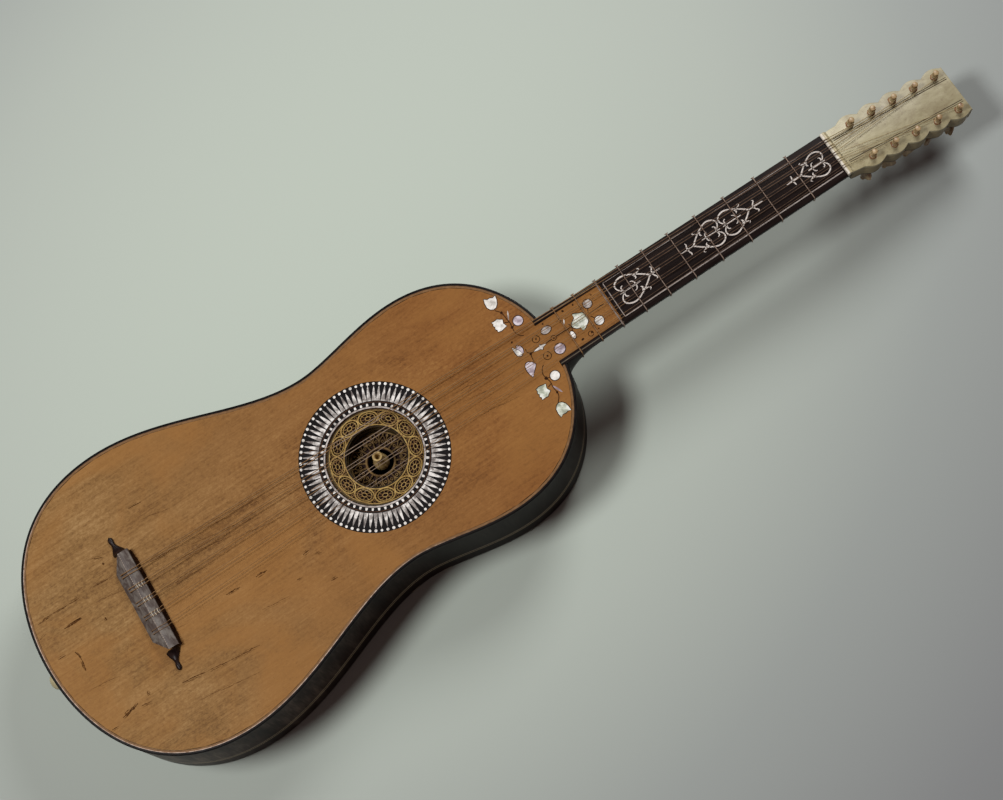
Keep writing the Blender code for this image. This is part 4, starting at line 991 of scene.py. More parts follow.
gardenForm = {
    "discs": [
        (-10.0, 222.8, 3.8, "pearlDim"), (8.2, 223.3, 3.9, "pearl"), (-31.3, 165.7, 4.2, "pearlLilac"),
        (27.5, 165.7, 4.1, "pearl"), (10.0, 182.0, 4.6, "pearlLilac"),
    ],
    "slivers": [
        ((-10.0, 198.7), (-6.0, 196.6), 1.1, "pearl"), ((-44.0, 163.0), (-36.2, 159.3), 1.3, "pearlDim"),
        ((34.2, 159.3), (43.2, 163.2), 1.7, "pearlLilac"),
    ],
    "sliver": [(0.0, 0.15), (0.15, 0.7), (0.4, 1.0), (0.7, 0.9), (0.9, 0.5), (1.0, 0.12)],
    "ovals": [(6.2, 197.8, 3.5, 0.52, "pearl"), (-10.5, 181.0, 3.0, 1.5, "pearlDim")],
    # Form, place, turn, size, mirrored, steps between its points where it is rounded, finish
    "flowers": [
        (crownForm, (-0.5, 208.6), 0, 1.0, 1, 3, "pearlGreen"),
        (tulipForm, (-57.2, 154.8), -14, 1.0, -1, 0, "pearl"),
        (tulipForm, (55.2, 155.3), 2, 1.0, 1, 0, "pearlGreen"),
        (blossomForm, (-37.2, 150.2), 0, 1.0, 1, 0, "pearl"),
        (blossomForm, (33.8, 149.9), 0, 1.04, -1, 0, "pearlGreen"),
    ],
    # Buds beside the centre, with a pale lower and a darker upper half
    "buds": [
        ([(-13.5, 148.4), (-11.0, 150.6), (-7.6, 152.4), (-4.2, 153.0), (-3.6, 150.6), (-5.4, 148.6),
          (-9.5, 148.2)], "pearl"),
        ([(-13.0, 152.6), (-11.2, 154.9), (-8.0, 155.6), (-5.0, 154.6), (-4.6, 153.4), (-7.8, 152.9),
          (-11.0, 151.2)], "pearlLilac"),
        ([(4.6, 152.6), (6.6, 155.6), (9.6, 157.4), (12.2, 155.4), (15.0, 152.4), (17.8, 149.8),
          (14.6, 148.6), (9.6, 148.3), (5.6, 149.6)], "pearlLilac"),
    ],
    "leaf": [
        (-0.3, 174.4), (0.9, 170.6), (2.3, 169.4), (0.9, 168.0), (0.5, 164.6), (-0.4, 162.2), (-1.1, 164.8),
        (-1.4, 168.0), (-2.7, 169.4), (-1.4, 170.8),
    ],
    "outline": 0.75,
    "engraved": [(-8.6, 169.5, 3.5), (9.2, 169.8, 3.8), (-0.9, 182.6, 2.6), (14.0, 211.0, 2.6)],
    "specks": [
        (-0.5, 159.0, 1.3), (-8.6, 169.5, 0.8), (9.2, 169.8, 0.9), (-0.9, 182.6, 0.9), (-16.5, 201.5, 1.0),
        (14.2, 202.6, 1.1), (13.5, 212.3, 0.9), (-16.4, 212.0, 0.8), (-14.8, 229.5, 0.7),
        (-29.0, 158.3, 1.2), (-45.2, 157.6, 1.2), (25.2, 158.3, 1.4), (41.0, 159.4, 1.0),
        (13.8, 219.0, 0.7), (-16.6, 181.5, 0.8), (-18.0, 151.0, 0.9),
    ],
    "spike": [(-1.7, 234.5), (-1.8, 231.0), (-1.6, 227.0), (-1.7, 223.5)], "spikeWide": [0.5, 1.3, 0.8, 0.5],
    "stem": 0.75,
    "stems": [
        [(-0.5, 159.0), (-3.5, 157.0), (-6.5, 157.5)], [(-0.5, 159.0), (3.0, 158.0), (7.0, 157.6)],
        [(-0.5, 160.0), (-0.4, 162.6)], [(-0.7, 174.5), (-0.9, 180.0)],
        [(-0.9, 185.2), (-0.8, 190.5), (-0.6, 201.0)],
        [(-29.0, 158.3), (-24.0, 157.9), (-19.4, 160.0), (-17.2, 162.8)],
        [(25.2, 158.3), (20.4, 157.8), (16.5, 159.8), (14.0, 162.6)],
        [(-29.0, 158.3), (-33.5, 158.9), (-37.8, 158.4), (-45.2, 157.6), (-50.2, 154.0)],
        [(25.2, 158.3), (30.0, 159.4), (35.5, 158.8), (41.0, 159.4), (45.0, 158.4), (49.6, 154.6)],
        [(-29.0, 158.3), (-30.2, 161.6)], [(25.2, 158.3), (26.8, 161.6)],
        [(-34.5, 158.8), (-36.4, 155.0)], [(31.5, 159.3), (33.0, 155.4)],
        [(-0.6, 201.0), (-4.5, 199.4)], [(-0.6, 201.0), (3.0, 199.2)], [(-1.2, 216.0), (-1.7, 223.5)],
        [(-3.0, 219.0), (-6.4, 220.8)], [(0.8, 219.2), (4.6, 221.4)],
    ],
}


def outlineInto(target, shapes, grow, low, high):
    # A slightly larger dark plate under the upper face of each shape
    for face in shapes.faces:
        if len(face.verts) < 5 or face.calc_center_median().z < high * mm:
            continue
        spots = [v.co.to_2d() / mm for v in face.verts]
        middle = sum(spots, Vector((0.0, 0.0))) / len(spots)
        grown = []
        for i, spot in enumerate(spots):
            along = (spots[(i + 1) % len(spots)] - spots[i - 1]).normalized()
            out = Vector((along.y, -along.x))
            if out.dot(spot - middle) < 0:
                out = (spot - middle).normalized()
            grown.append(spot + out * grow)
        slabInto(target, grown, low, high)


def makeGarden():
    f = gardenForm
    low, high = inlayLow, inlayHigh
    groups = {key: bmesh.new() for key in ("pearl", "pearlDim", "pearlLilac", "pearlGreen")}
    for x, y, radius, kind in f["discs"]:
        spotInto(groups[kind], (x, y), radius, low, high, 24)
    for start, end, wide, kind in f["slivers"]:
        line = [Vector(start).lerp(Vector(end), t) for t, share in f["sliver"]]
        ribbonInto(groups[kind], line, [share * wide for t, share in f["sliver"]], low, high)
    for x, y, radius, squeeze, kind in f["ovals"]:
        spotInto(groups[kind], (x, y), radius, low, high, squeeze=squeeze)
    for form, centre, turn, size, flip, steps, kind in f["flowers"]:
        outline = placed(form, centre, turn, size, flip)
        slabInto(groups[kind], flow(outline, steps, closed=True) if steps else outline, low, high)
    for points, kind in f["buds"]:
        slabInto(groups[kind], flow(points, 4, closed=True), low, high)
    slabInto(groups["pearl"], f["leaf"], low, high)
    engraved, stems = bmesh.new(), bmesh.new()
    for kind, mesh in groups.items():
        outlineInto(engraved, mesh, f["outline"], low, bellyTop + 0.02)
        addPiece("garden" + kind[0].upper() + kind[1:], mesh, kind)
    for x, y, radius in f["engraved"]:
        ringInto(engraved, radius - 0.65, radius, low, high - 0.02, 24, (x, y))
    for x, y, radius in f["specks"]:
        blotInto(engraved, (x, y), 1.25 * radius, 9, (0.6, 1.1), int(x * 7 + y * 13), low, high - 0.02)
    ribbonInto(engraved, f["spike"], f["spikeWide"], low, high - 0.02)
    addPiece("gardenSpecks", engraved, "stain")
    for stem in f["stems"]:
        ribbonInto(stems, flow(stem, 5), f["stem"], low, high - 0.03)
    addPiece("gardenStems", stems, "stain")


# Cracks and worn lines in the belly: two ends in the camera's frame, and a width

bellyMarks = {
    "cracks": [
        ((38, 625), (52, 614), 0.7), ((52, 614), (69, 604), 0.6), ((69, 604), (79, 598), 0.7),
        ((64, 629), (82, 618), 1.3), ((91, 559), (104, 557), 0.6), ((93, 587), (108, 579), 0.7),
        ((102, 563), (104, 565), 1.0), ((105, 617), (107, 620), 1.0), ((75, 652), (82, 660), 0.8),
        ((82, 660), (86, 671), 1.0), ((123, 718), (131, 710), 1.5), ((130, 713), (138, 703), 1.1),
        ((147, 691), (150, 695), 1.0), ((142, 706), (152, 701), 0.7), ((182, 683), (206, 672), 0.8),
        ((206, 672), (231, 660), 0.5), ((231, 660), (260, 645), 0.6), ((226, 595), (240, 587), 0.9),
        ((147, 562), (177, 547), 0.6), ((128, 509), (141, 502), 0.6), ((256, 577), (267, 570), 1.2),
        ((303, 555), (309, 550), 0.8), ((314, 553), (322, 553), 0.5), ((331, 581), (338, 577), 0.7),
        ((297, 580), (303, 577), 0.5), ((40, 640), (46, 634), 0.5), ((58, 660), (66, 655), 0.5),
        ((112, 730), (119, 726), 0.6),
    ],
    "faint": [
        ((190, 545), (246, 520), 0.5), ((176, 560), (240, 532), 0.4), ((205, 528), (232, 515), 0.6),
        ((250, 505), (300, 480), 0.4), ((160, 590), (215, 562), 0.4), ((232, 540), (276, 520), 0.4),
        ((140, 520), (170, 508), 0.4), ((262, 610), (290, 596), 0.4), ((454, 394), (486, 377), 0.5),
        ((463, 402), (500, 384), 0.4), ((470, 420), (520, 396), 0.4), ((100, 600), (128, 588), 0.4),
        ((200, 700), (260, 672), 0.4), ((340, 440), (300, 455), 0.4), ((90, 690), (120, 676), 0.4),
        ((150, 640), (190, 622), 0.3),
    ],
    # Name, finish, height over the belly, number of thin splits beside each mark
    "kinds": {"cracks": ("bellyCracks", "crack", 0.035, 2), "faint": ("bellyWornLines", "worn", 0.02, 1)},
}


def makeMarks():
    # Each mark is a broken line with short side steps and thin splits beside it
    rng = random.Random(11)
    for kind, (name, finishName, lift, splits) in bellyMarks["kinds"].items():
        mesh = bmesh.new()
        for start, end, wide in bellyMarks[kind]:
            a, b = onBelly(*start), onBelly(*end)
            off = Vector((-(b - a).y, (b - a).x)).normalized()
            for split in range(splits + 1):
                first = rng.uniform(0.0, 0.35) if split else 0.0
                last = rng.uniform(0.65, 1.0) if split else 1.0
                aside = off * (rng.choice((-1, 1)) * rng.uniform(0.7, 1.5) if split else 0.0)
                c, d = a.lerp(b, first) + aside, a.lerp(b, last) + aside
                count = max(5, int((d - c).length))
                thick = wide * (0.45 if split else 1.25)
                line, widths = [], []
                drift = 0.0
                for i in range(count + 1):
                    t = i / count
                    if rng.random() < 0.22:
                        drift = rng.uniform(-0.55, 0.55)
                    line.append(c.lerp(d, t) + off * drift * math.sin(math.pi * t))
                    taper = max(0.15, math.sin(math.pi * (0.06 + 0.88 * t)) ** 0.6)
                    widths.append(thick * taper * rng.uniform(0.35, 1.45))
                ribbonInto(mesh, line, widths, bellyTop - 0.1, bellyTop + lift)
        addPiece(name, mesh, finishName)


# Neck, tongue strips and fingerboard

neckForm = {
    "joint": 180.0, "headFrom": 474.0, "atBody": 47.2, "atHead": 43.6, "depthHead": 16.5, "depthHeel": 19.5,
    "heel": 78.0, "heelLength": 48.0, "headLean": 15.0,
    "boardFrom": 240.2, "boardEase": 0.6, "strip": 4.5, "stripSlip": (1.7, 2.3),
    "nutFrom": 468.2, "nutLength": 5.0, "nutHeight": 2.6, "nutCrown": 1.5,
    # Pale lines of the fingerboard: side, distance from its edge, width; then the lines across
    "sideLines": [(1, 5.0, 1.0), (-1, 5.3, 0.5)], "sideLinesFrom": 243.4,
    "boardLine": (-17.2, 17.6, 243.0, 243.7), "tongueLine": (-22.6, 22.6, 237.5, 238.0),
}


def neckHalf(y):
    f = neckForm
    share = (y - f["joint"]) / (f["headFrom"] - f["joint"])
    return (f["atBody"] + (f["atHead"] - f["atBody"]) * share) / 2


def neckDeep(y):
    f = neckForm
    heelStart = f["joint"] + f["heelLength"]
    share = (y - heelStart) / (f["headFrom"] - heelStart)
    if share >= 0:
        return f["depthHeel"] + (f["depthHead"] - f["depthHeel"]) * share
    return f["depthHeel"] + (f["heel"] - f["depthHeel"]) * ((heelStart - y) / f["heelLength"]) ** 3


def neckSection(y, count=24, out=0.0):
    # Rounded back of the neck from the treble edge down and round to the bass edge
    half, deep = neckHalf(y) + out, neckDeep(y) + out
    line = []
    for i in range(count + 1):
        a = math.pi * i / count
        c, s = math.cos(a), math.sin(a)
        line.append((half * math.copysign(abs(c) ** 0.75, c), bedTop - deep * s ** 1.1))
    return line


def makeNeck():
    f = neckForm
    start, heelEnd, end = f["joint"] + 2 * gap, f["joint"] + f["heelLength"], f["headFrom"]
    stations = [start + (heelEnd - start) * k / 16 for k in range(17)]
    stations += [heelEnd + (end - heelEnd) * k / 8 for k in range(1, 8)]
    rings = [[(x, y, z) for x, z in neckSection(y)] for y in stations]
    lean = math.tan(math.radians(f["headLean"]))
    rings.append([(x, end - (bellyTop - z) * lean, z) for x, z in neckSection(end)])
    mesh = bmesh.new()
    loftInto(mesh, rings)
    # The square foot of the neck, inside the body
    half = neckHalf(f["joint"])
    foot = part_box("neck")[0][1] / mm
    barInto(mesh, -half, half, foot, f["joint"] + gap, bodyForm["backThick"] + gap, bedTop)
    addPiece("neckAndHeel", mesh, "neckWood", smooth=40, node="neck")


def stripInto(mesh, side, start, end, outside, inside, low, high):
    # A strip along the neck, between two distances from its edge
    corners = ((outside, start), (outside, end), (inside, end), (inside, start))
    slabInto(mesh, [(side * (neckHalf(y) - off), y) for off, y in corners], low, high)


def makeBoard():
    f = neckForm
    start, end, ease = f["boardFrom"], f["nutFrom"] - gap, f["boardEase"]
    edge = [(0.0, bellyUnder), (0.0, bellyTop - ease), (0.2, bellyTop - 0.2), (ease, bellyTop)]
    rings = []
    for k in range(9):
        y = start + (end - start) * k / 8
        half = neckHalf(y)
        rings.append([(x - half, y, z) for x, z in edge] + [(half - x, y, z) for x, z in reversed(edge)])
    board = bmesh.new()
    loftInto(board, rings)
    addPiece("fingerboardEbony", board, "ebony", smooth=40, node="fingerboard")
    # Tongue strips beside the belly's tongue, dark with a paler slip in the middle
    for name, side, node in (
        ("tongueStripTreble", 1, "tongue_strip_treble"), ("tongueStripBass", -1, "tongue_strip_bass"),
    ):
        first, last = (corner[1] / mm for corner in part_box(node))
        strip, slip = bmesh.new(), bmesh.new()
        stripInto(strip, side, first, last, 0.0, f["strip"], bellyUnder, bellyTop)
        addPiece(name, strip, "ebony", node=node)
        stripInto(slip, side, first, last, *f["stripSlip"], bellyTop - 0.4, bellyTop + 0.03)
        addPiece(name + "Slip", slip, "ribLine")
    lines, seam = bmesh.new(), bmesh.new()
    low, high = inlayLow, inlayHigh - 0.01
    for side, offset, wide in f["sideLines"]:
        stripInto(lines, side, f["sideLinesFrom"], end - 1.2, offset, offset + wide, low, high)
    barInto(lines, *f["boardLine"], low, high)
    addPiece("fingerboardLines", lines, "ivoryLine")
    barInto(seam, *f["tongueLine"], low, high)
    addPiece("tongueEndLine", seam, "ivoryLine")


# Scroll ornaments in the fingerboard

scrollForm = {
    "middle": -1.0, "line": 1.1, "thin": 0.75, "deep": 0.4,
    "hearts": [
        {"point": 435.2, "lobes": 460.4, "half": 11.6}, {"point": 382.0, "lobes": 355.0, "half": 11.8},
        {"point": 325.4, "lobes": 353.0, "half": 12.2}, {"point": 281.0, "lobes": 249.8, "half": 12.9},
    ],
    "stems": [(420.8, 436.0), (381.6, 395.8), (312.6, 326.0), (280.0, 291.4)],
    "arms": [(426.8, 4.6, 0.8), (386.2, 5.9, 3.0), (319.4, 5.9, 1.2), (283.0, 6.2, 2.4)],
}


def makeScrolls():
    f = scrollForm
    mesh = bmesh.new()
    middle, wide, thin = f["middle"], f["line"], f["thin"]

    def stroke(points, widths):
        line = flow([(middle + x, y) for x, y in points], 6)
        count = len(line) - 1
        spread = []
        for i in range(count + 1):
            t = i / count * (len(widths) - 1)
            k = min(int(t), len(widths) - 2)
            spread.append(widths[k] + (widths[k + 1] - widths[k]) * (t - k))
        ribbonInto(mesh, line, spread, bellyTop - f["deep"], inlayHigh)

    # Half of a heart: its lobe curling back to the middle, then the small curls
    curls = [
        ([(0, 0), (0.34, 0.17), (0.71, 0.40), (0.96, 0.63), (0.97, 0.81), (0.76, 0.965), (0.46, 0.995),
          (0.20, 0.93), (0.06, 0.85)], [wide * 1.2, wide, wide * 1.2, wide, thin]),
        ([(0, 0.85), (0.20, 0.87), (0.35, 0.86), (0.42, 0.80)], [wide * 1.2, thin * 1.3, thin * 0.9]),
        ([(0, 0.47), (0.18, 0.475), (0.31, 0.51), (0.36, 0.57)], [wide * 1.1, thin * 1.2, thin * 0.8]),
        ([(0.70, 0.41), (0.52, 0.37), (0.40, 0.36), (0.32, 0.40)], [wide * 0.9, wide * 1.3, thin * 0.6]),
        ([(0.60, 0.33), (0.68, 0.22), (0.78, 0.17), (0.86, 0.22)], [wide * 0.9, thin, thin * 0.7]),
    ]
    for heart in f["hearts"]:
        point, half = heart["point"], heart["half"]
        run = heart["lobes"] - point
        stroke([(0, point + v * run) for v in (0.31, 0.6, 0.98)], [thin * 1.3, thin * 1.7, thin])
        for side in (-1, 1):
            for points, widths in curls:
                stroke([(side * u * half, point + v * run) for u, v in points], widths)
    for start, end in f["stems"]:
        stroke([(0, start), (0, (start + end) / 2), (0, end)], [thin, wide * 1.3, thin])
    for y, reach, rise in f["arms"]:
        for side in (-1, 1):
            arm = ((0, 0), (0.40, 0.35), (0.78, 1), (1, 0.55))
            stroke([(side * reach * u, y + rise * v) for u, v in arm], [wide * 1.2, wide, thin * 0.8])
    addPiece("fingerboardScrolls", mesh, "scroll")


# Frets of tied gut

fretForm = {
    "count": 10, "moving": 8, "scale": 621.0, "gut": 0.9, "knotGut": 0.42, "endGut": 0.34,
    # Over the neck's upper edge, from the side towards the middle, then the knot and its two ends
    "edge": [(0.0, -0.9), (0.35, -0.25), (0.9, 0.0)],
    "knot": [
        (-0.1, -0.9, -1.6), (-0.35, -0.2, -1.0), (-0.1, 0.7, -1.7), (-0.35, 0.1, -2.5), (-0.1, -0.9, -1.6),
    ],
    "ends": [(-0.2, 0.0, -1.4), (-0.5, 1.6, -1.0)],
}


def makeFrets():
    f = fretForm
    radius = f["gut"] / 2
    out = radius + gap
    top = bellyTop + out
    for number in range(1, f["count"] + 1):
        moving = number <= f["moving"]
        y = neckForm["nutFrom"] - f["scale"] * (1 - 2 ** (-number / 12))
        half = neckHalf(y) + out
        line = [(half, bedTop)] + neckSection(y, 28, out)[1:-1] + [(-half, bedTop)]
        line += [(x - half, top + z) for x, z in f["edge"]] + [(0.0, top)]
        line += [(half - x, top + z) for x, z in reversed(f["edge"])]
        mesh = bmesh.new()
        tubeInto(mesh, [(x, y, z) for x, z in line], radius, 8, closed=True)
        # The knot sits at the bass edge, with two short trimmed ends
        tubeInto(mesh, flow([(u - half, y + v, top + w) for u, v, w in f["knot"]], 5), f["knotGut"], 7)
        for lean in (-1, 1):
            tubeInto(mesh, [(u - half, y + lean * v, top + w) for u, v, w in f["ends"]], f["endGut"], 6)
        body = f"tied_fret_{number:02d}" if moving else bodyRoot
        finishName = "fretGut" if moving else "fretBrown"
        addPiece(f"gutFret{number:02d}", mesh, finishName, body, smooth=60, node=f"fret_{number:02d}")


def makeNut():
    f = neckForm
    top = bellyTop + f["nutHeight"]
    crown, length = f["nutCrown"], f["nutLength"]
    section = [(0.0, bellyUnder), (0.0, top - crown)]
    for k in range(1, 10):
        u, v = polar(1.0, 18 * k)
        section.append((length / 2 - u * length / 2, top - crown + v * crown))
    section += [(length, top - crown), (length, bellyUnder)]
    rings = []
    for share, ease in ((-1.0, 0.3), (-0.985, 0.0), (0.985, 0.0), (1.0, 0.3)):
        spots = [(f["nutFrom"] + y, min(z, top - ease)) for y, z in section]
        rings.append([(share * neckHalf(y), y, z) for y, z in spots])
    mesh = bmesh.new()
    loftInto(mesh, rings)
    addPiece("nutBone", mesh, "nutBone", smooth=35, node="nut")


# Bridge

bridgeForm = {
    "place": (-2.8, -230.5), "skew": -2.1, "half": 48.0, "backHalf": 33.8, "front": 9.8, "back": 10.0,
    "height": 8.5, "top": 11.5, "flat": 9.6, "backHeight": 2.2,
    "dots": 46, "dot": 0.6, "dotRows": (0.15, 0.75), "frontShadeSlab": 0.03,
    "thread": 0.4, "threadCourses": (2, 3, 4),
    "finial": {
        "reach": 66.4, "tipOff": -0.7, "rootOff": 1.6, "offEnds": 0.7, "steps": 24,
        "root": 12.2, "waist": 3.6, "tip": 4.6, "waistAt": 0.62, "tipAt": 0.55,
        "thick": 3.2, "thins": 0.30, "rise": 4.4, "riseEnds": 0.34,
    },
}


def bridgePlace():
    f = bridgeForm
    spot = Matrix.Translation(Vector((*f["place"], bellyTop + gap)) * mm)
    return spot @ Matrix.Rotation(math.radians(f["skew"]), 4, "Z")


def bridgeLine(x):
    f = bridgeForm
    return f["place"][1] + (x - f["place"][0]) * math.tan(math.radians(f["skew"]))


def bridgeEnd(side, inward):
    # The bridge's section at one end; inward is 0 at the tucked outer ring and 1 just inside it
    f = bridgeForm
    front, back, height = f["front"], f["back"], f["height"]
    ridge = front - f["flat"]
    points = []
    for y, z, tuck in (
        (front, 0.0, 0.0), (front, height - 0.9, 0.0), (front - 0.25, height - 0.3, 0.1),
        (front - 0.9, height, 0.3), (ridge + 0.35, height, 0.3), (ridge - 0.2, height - 0.12, 0.2),
        (-back + 0.6, f["backHeight"] + 0.45, 0.15), (-back, f["backHeight"] - 0.1, 0.05), (-back, 0.0, 0.0),
    ):
        past = max(0.0, (ridge - y) / (ridge + back))
        half = f["half"] + (f["backHalf"] - f["half"]) * past
        half -= inward * (0.35 if z else 0.2) + tuck * (1 - inward)
        points.append((side * half, y, z))
    return points


def makeBridge():
    first, last = bridgeEnd(-1, 1), bridgeEnd(1, 1)
    between = [
        [Vector(p).lerp(Vector(q), share) for p, q in zip(first, last)] for share in (0.2, 0.4, 0.6, 0.8)
    ]
    mesh = bmesh.new()
    loftInto(mesh, [bridgeEnd(-1, 0), first, *between, last, bridgeEnd(1, 0)])
    addPiece("bridgeBlock", mesh, "bridgeWood", place=bridgePlace(), smooth=25, node="bridge")


def makeBridgeTrim():
    f = bridgeForm
    front, height = f["front"], f["height"]
    ridge = front - f["flat"]
    dots, frontShadeSlab, frontShadow, thread = (bmesh.new() for k in range(4))
    # A dotted line of pale bone along the ridge
    reach = f["half"] - 1.2
    for i in range(f["dots"]):
        x = -reach + 2 * reach * i / (f["dots"] - 1)
        rows = [ridge + off for off in f["dotRows"]]
        barInto(dots, x - f["dot"], x + f["dot"], *rows, height - 0.4, height + 0.04)
    addPiece("bridgeRidgeInlay", dots, "bridgeLine", place=bridgePlace())
    # Dark veneer on the front, and old glue that has run out below it
    # Painted shade on the front face, and a painted shadow on the belly in front of the bridge
    reach = f["half"] - gap
    barInto(frontShadeSlab, -reach, reach, front - 0.3, front + f["frontShadeSlab"], 0.0, height - 0.7)
    addPiece("bridgeFrontShade", frontShadeSlab, "bridgeDark", place=bridgePlace())
    # The strip on the belly is the bridge's painted shadow, narrowing at the ends
    rng = random.Random(23)
    spots = []
    for i in range(41):
        taper = min(1.0, 3.0 * (1 - abs(i / 20 - 1)) + 0.35)
        spots.append((-reach + 2 * reach * i / 40, front + rng.uniform(2.1, 2.8) * taper))
    slabInto(frontShadow, [(reach, front - 0.5), (-reach, front - 0.5)] + spots, -gap - 0.1, -gap + 0.04)
    addPiece("bridgeFrontShadow", frontShadow, "stain", place=bridgePlace())
    # Pale thread wound between the strings' ties on the flat of the bridge
    tie = stringForm["tie"] * 0.7 - f["place"][0]
    for course in f["threadCourses"]:
        left, right = (acrossAt(course, member, stringForm["atBridge"]) + tie for member in "ab")
        for turn in range(3):
            y = [front - 1.6 - 2.6 * turn - rng.uniform(0.0, 0.8) for k in range(3)]
            path = [(left - 0.9, y[0]), ((left + right) / 2, y[1] - 0.7), (right + 0.9, y[2])]
            tubeInto(thread, [(*spot, height + 0.5) for spot in flow(path, 5)], f["thread"], 6)
    addPiece("bridgeThread", thread, "tieGut", place=bridgePlace(), smooth=60)


def finialHalf(t):
    # Half width along a finial: from the root to the waist, then swelling to a round tip
    g = bridgeForm["finial"]
    root, waist, tip = g["root"] / 2, g["waist"] / 2, g["tip"] / 2
    if t < g["waistAt"]:
        return root + (waist - root) * (1 - math.cos(math.pi * t / g["waistAt"])) / 2
    u = (t - g["waistAt"]) / (1 - g["waistAt"])
    half = waist + (tip - waist) * math.sin(math.pi / 2 * min(1.0, u / g["tipAt"]))
    if u > g["tipAt"]:
        half *= math.sqrt(max(0.0, 1 - ((u - g["tipAt"]) / (1 - g["tipAt"])) ** 2)) * 0.96 + 0.04
    return half


def makeFinials():
    g = bridgeForm["finial"]
    start = bridgeForm["half"] + gap
    for name, side, node in (
        ("bridgeFinialTreble", 1, "bridge_finial_treble"), ("bridgeFinialBass", -1, "bridge_finial_bass"),
    ):
        rings = []
        for k in range(g["steps"] + 1):
            t = k / g["steps"]
            x = start + (g["reach"] - start) * t
            off = g["rootOff"] + (g["tipOff"] - g["rootOff"]) * min(1.0, t / g["offEnds"])
            half = finialHalf(t)
            # A ridged back: the section rises to a soft edge in the middle
            tall = g["thick"] * (1.0 - g["thins"] * t) + g["rise"] * max(0.0, 1 - t / g["riseEnds"]) ** 2
            section = [(-1, 0), (-1, 0.35), (-0.55, 0.8), (0, 1), (0.55, 0.8), (1, 0.35), (1, 0)]
            rings.append([(side * x, off + half * u, tall * v) for u, v in section])
        mesh = bmesh.new()
        loftInto(mesh, rings)
        addPiece(name, mesh, "bridgeDark", place=bridgePlace(), smooth=45, node=node)


# Strings, course 1 on the treble side

stringForm = {
    "thick": {1: 0.42, 2: 0.50, 3: 0.58, 4: 0.68, 5: 0.78},
    # Distance between courses, within a pair, and of the middle course from the centre line
    "atNut": (6.9, 2.2, 0.0), "atBridge": (14.0, 3.0, -3.6),
    "height": 5.8, "tie": 1.4, "turns": 2.25, "air": 0.60, "windFrom": 2.4,
}
headForm = {
    "lean": 15.0, "from": 474.0, "length": 126.0, "thick": 11.8, "face": 2.4, "backVeneer": 0.8,
    "half": 22.6, "scallop": 4.0, "pegs": 5, "firstPeg": 23.0, "pitch": 22.9, "row": 17.5, "spread": 0.9,
    "lines": [(11.2, 0.75), (12.9, 0.55)], "stain": 3.7,
}
pegForm = {
    "tip": 8.8, "tipRadius": 2.05, "button": 2.5, "front": 2.9, "back": 3.6,
    "collar": 5.2, "collarLength": 2.2, "stem": 2.7, "stemLength": 5.0,
    "headWide": 17.0, "headThick": 5.8, "headLong": 15.5, "bead": 2.4,
    "disc": 4.0, "discCord": 0.35, "turnStep": 38.0,
    # Along the flat head: share of its length, then of its width and thickness
    "head": [
        (0.04, 0.40, 0.95), (0.12, 0.60, 0.98), (0.25, 0.86, 0.86), (0.38, 0.97, 0.74), (0.50, 1.0, 0.70),
        (0.62, 0.96, 0.72), (0.75, 0.82, 0.80), (0.86, 0.58, 0.86), (0.94, 0.38, 0.84),
    ],
}
pegOrder = {1: ["1b", "1a", "2b", "2a", "3b"], -1: ["5a", "5b", "4a", "4b", "3a"]}
pegs = [(side, index, key) for side, order in pegOrder.items() for index, key in enumerate(order)]


def headPlace():
    f = headForm
    spot = Matrix.Translation(Vector((0.0, f["from"], bellyTop)) * mm)
    return spot @ Matrix.Rotation(-math.radians(f["lean"]), 4, "X")


def pegSpot(side, index):
    f = headForm
    return side * (f["row"] + f["spread"] * index / (f["pegs"] - 1)), f["firstPeg"] + f["pitch"] * index


def acrossAt(course, member, spacing):
    between, pair, middle = spacing
    return (3 - course) * between + (1 if member == "b" else -1) * pair / 2 + middle


def windingLine(start, side, index, radius):
    # Round the peg's tip from its inner side, outwards in close turns
    f = stringForm
    place = headPlace()
    near = place.inverted() @ (start * mm) / mm
    across, along = pegSpot(side, index)
    centre = -side * across
    reach = pegForm["tipRadius"] + gap + radius
    du, dv = centre + side * near.x, along - near.y
    first = math.atan2(dv, du) - math.asin(reach / math.hypot(du, dv)) - math.pi / 2
    pitch = 2 * radius + f["air"]
    steps = 16
    points = []
    for i in range(int(f["turns"] * steps) + 1):
        x, y = polar(reach, math.degrees(first) + 360 * i / steps, (centre, along))
        height = f["windFrom"] + pitch * max(0.0, i / steps - 0.1)
        points.append(place @ (Vector((-side * x, y, height)) * mm) / mm)
    return points


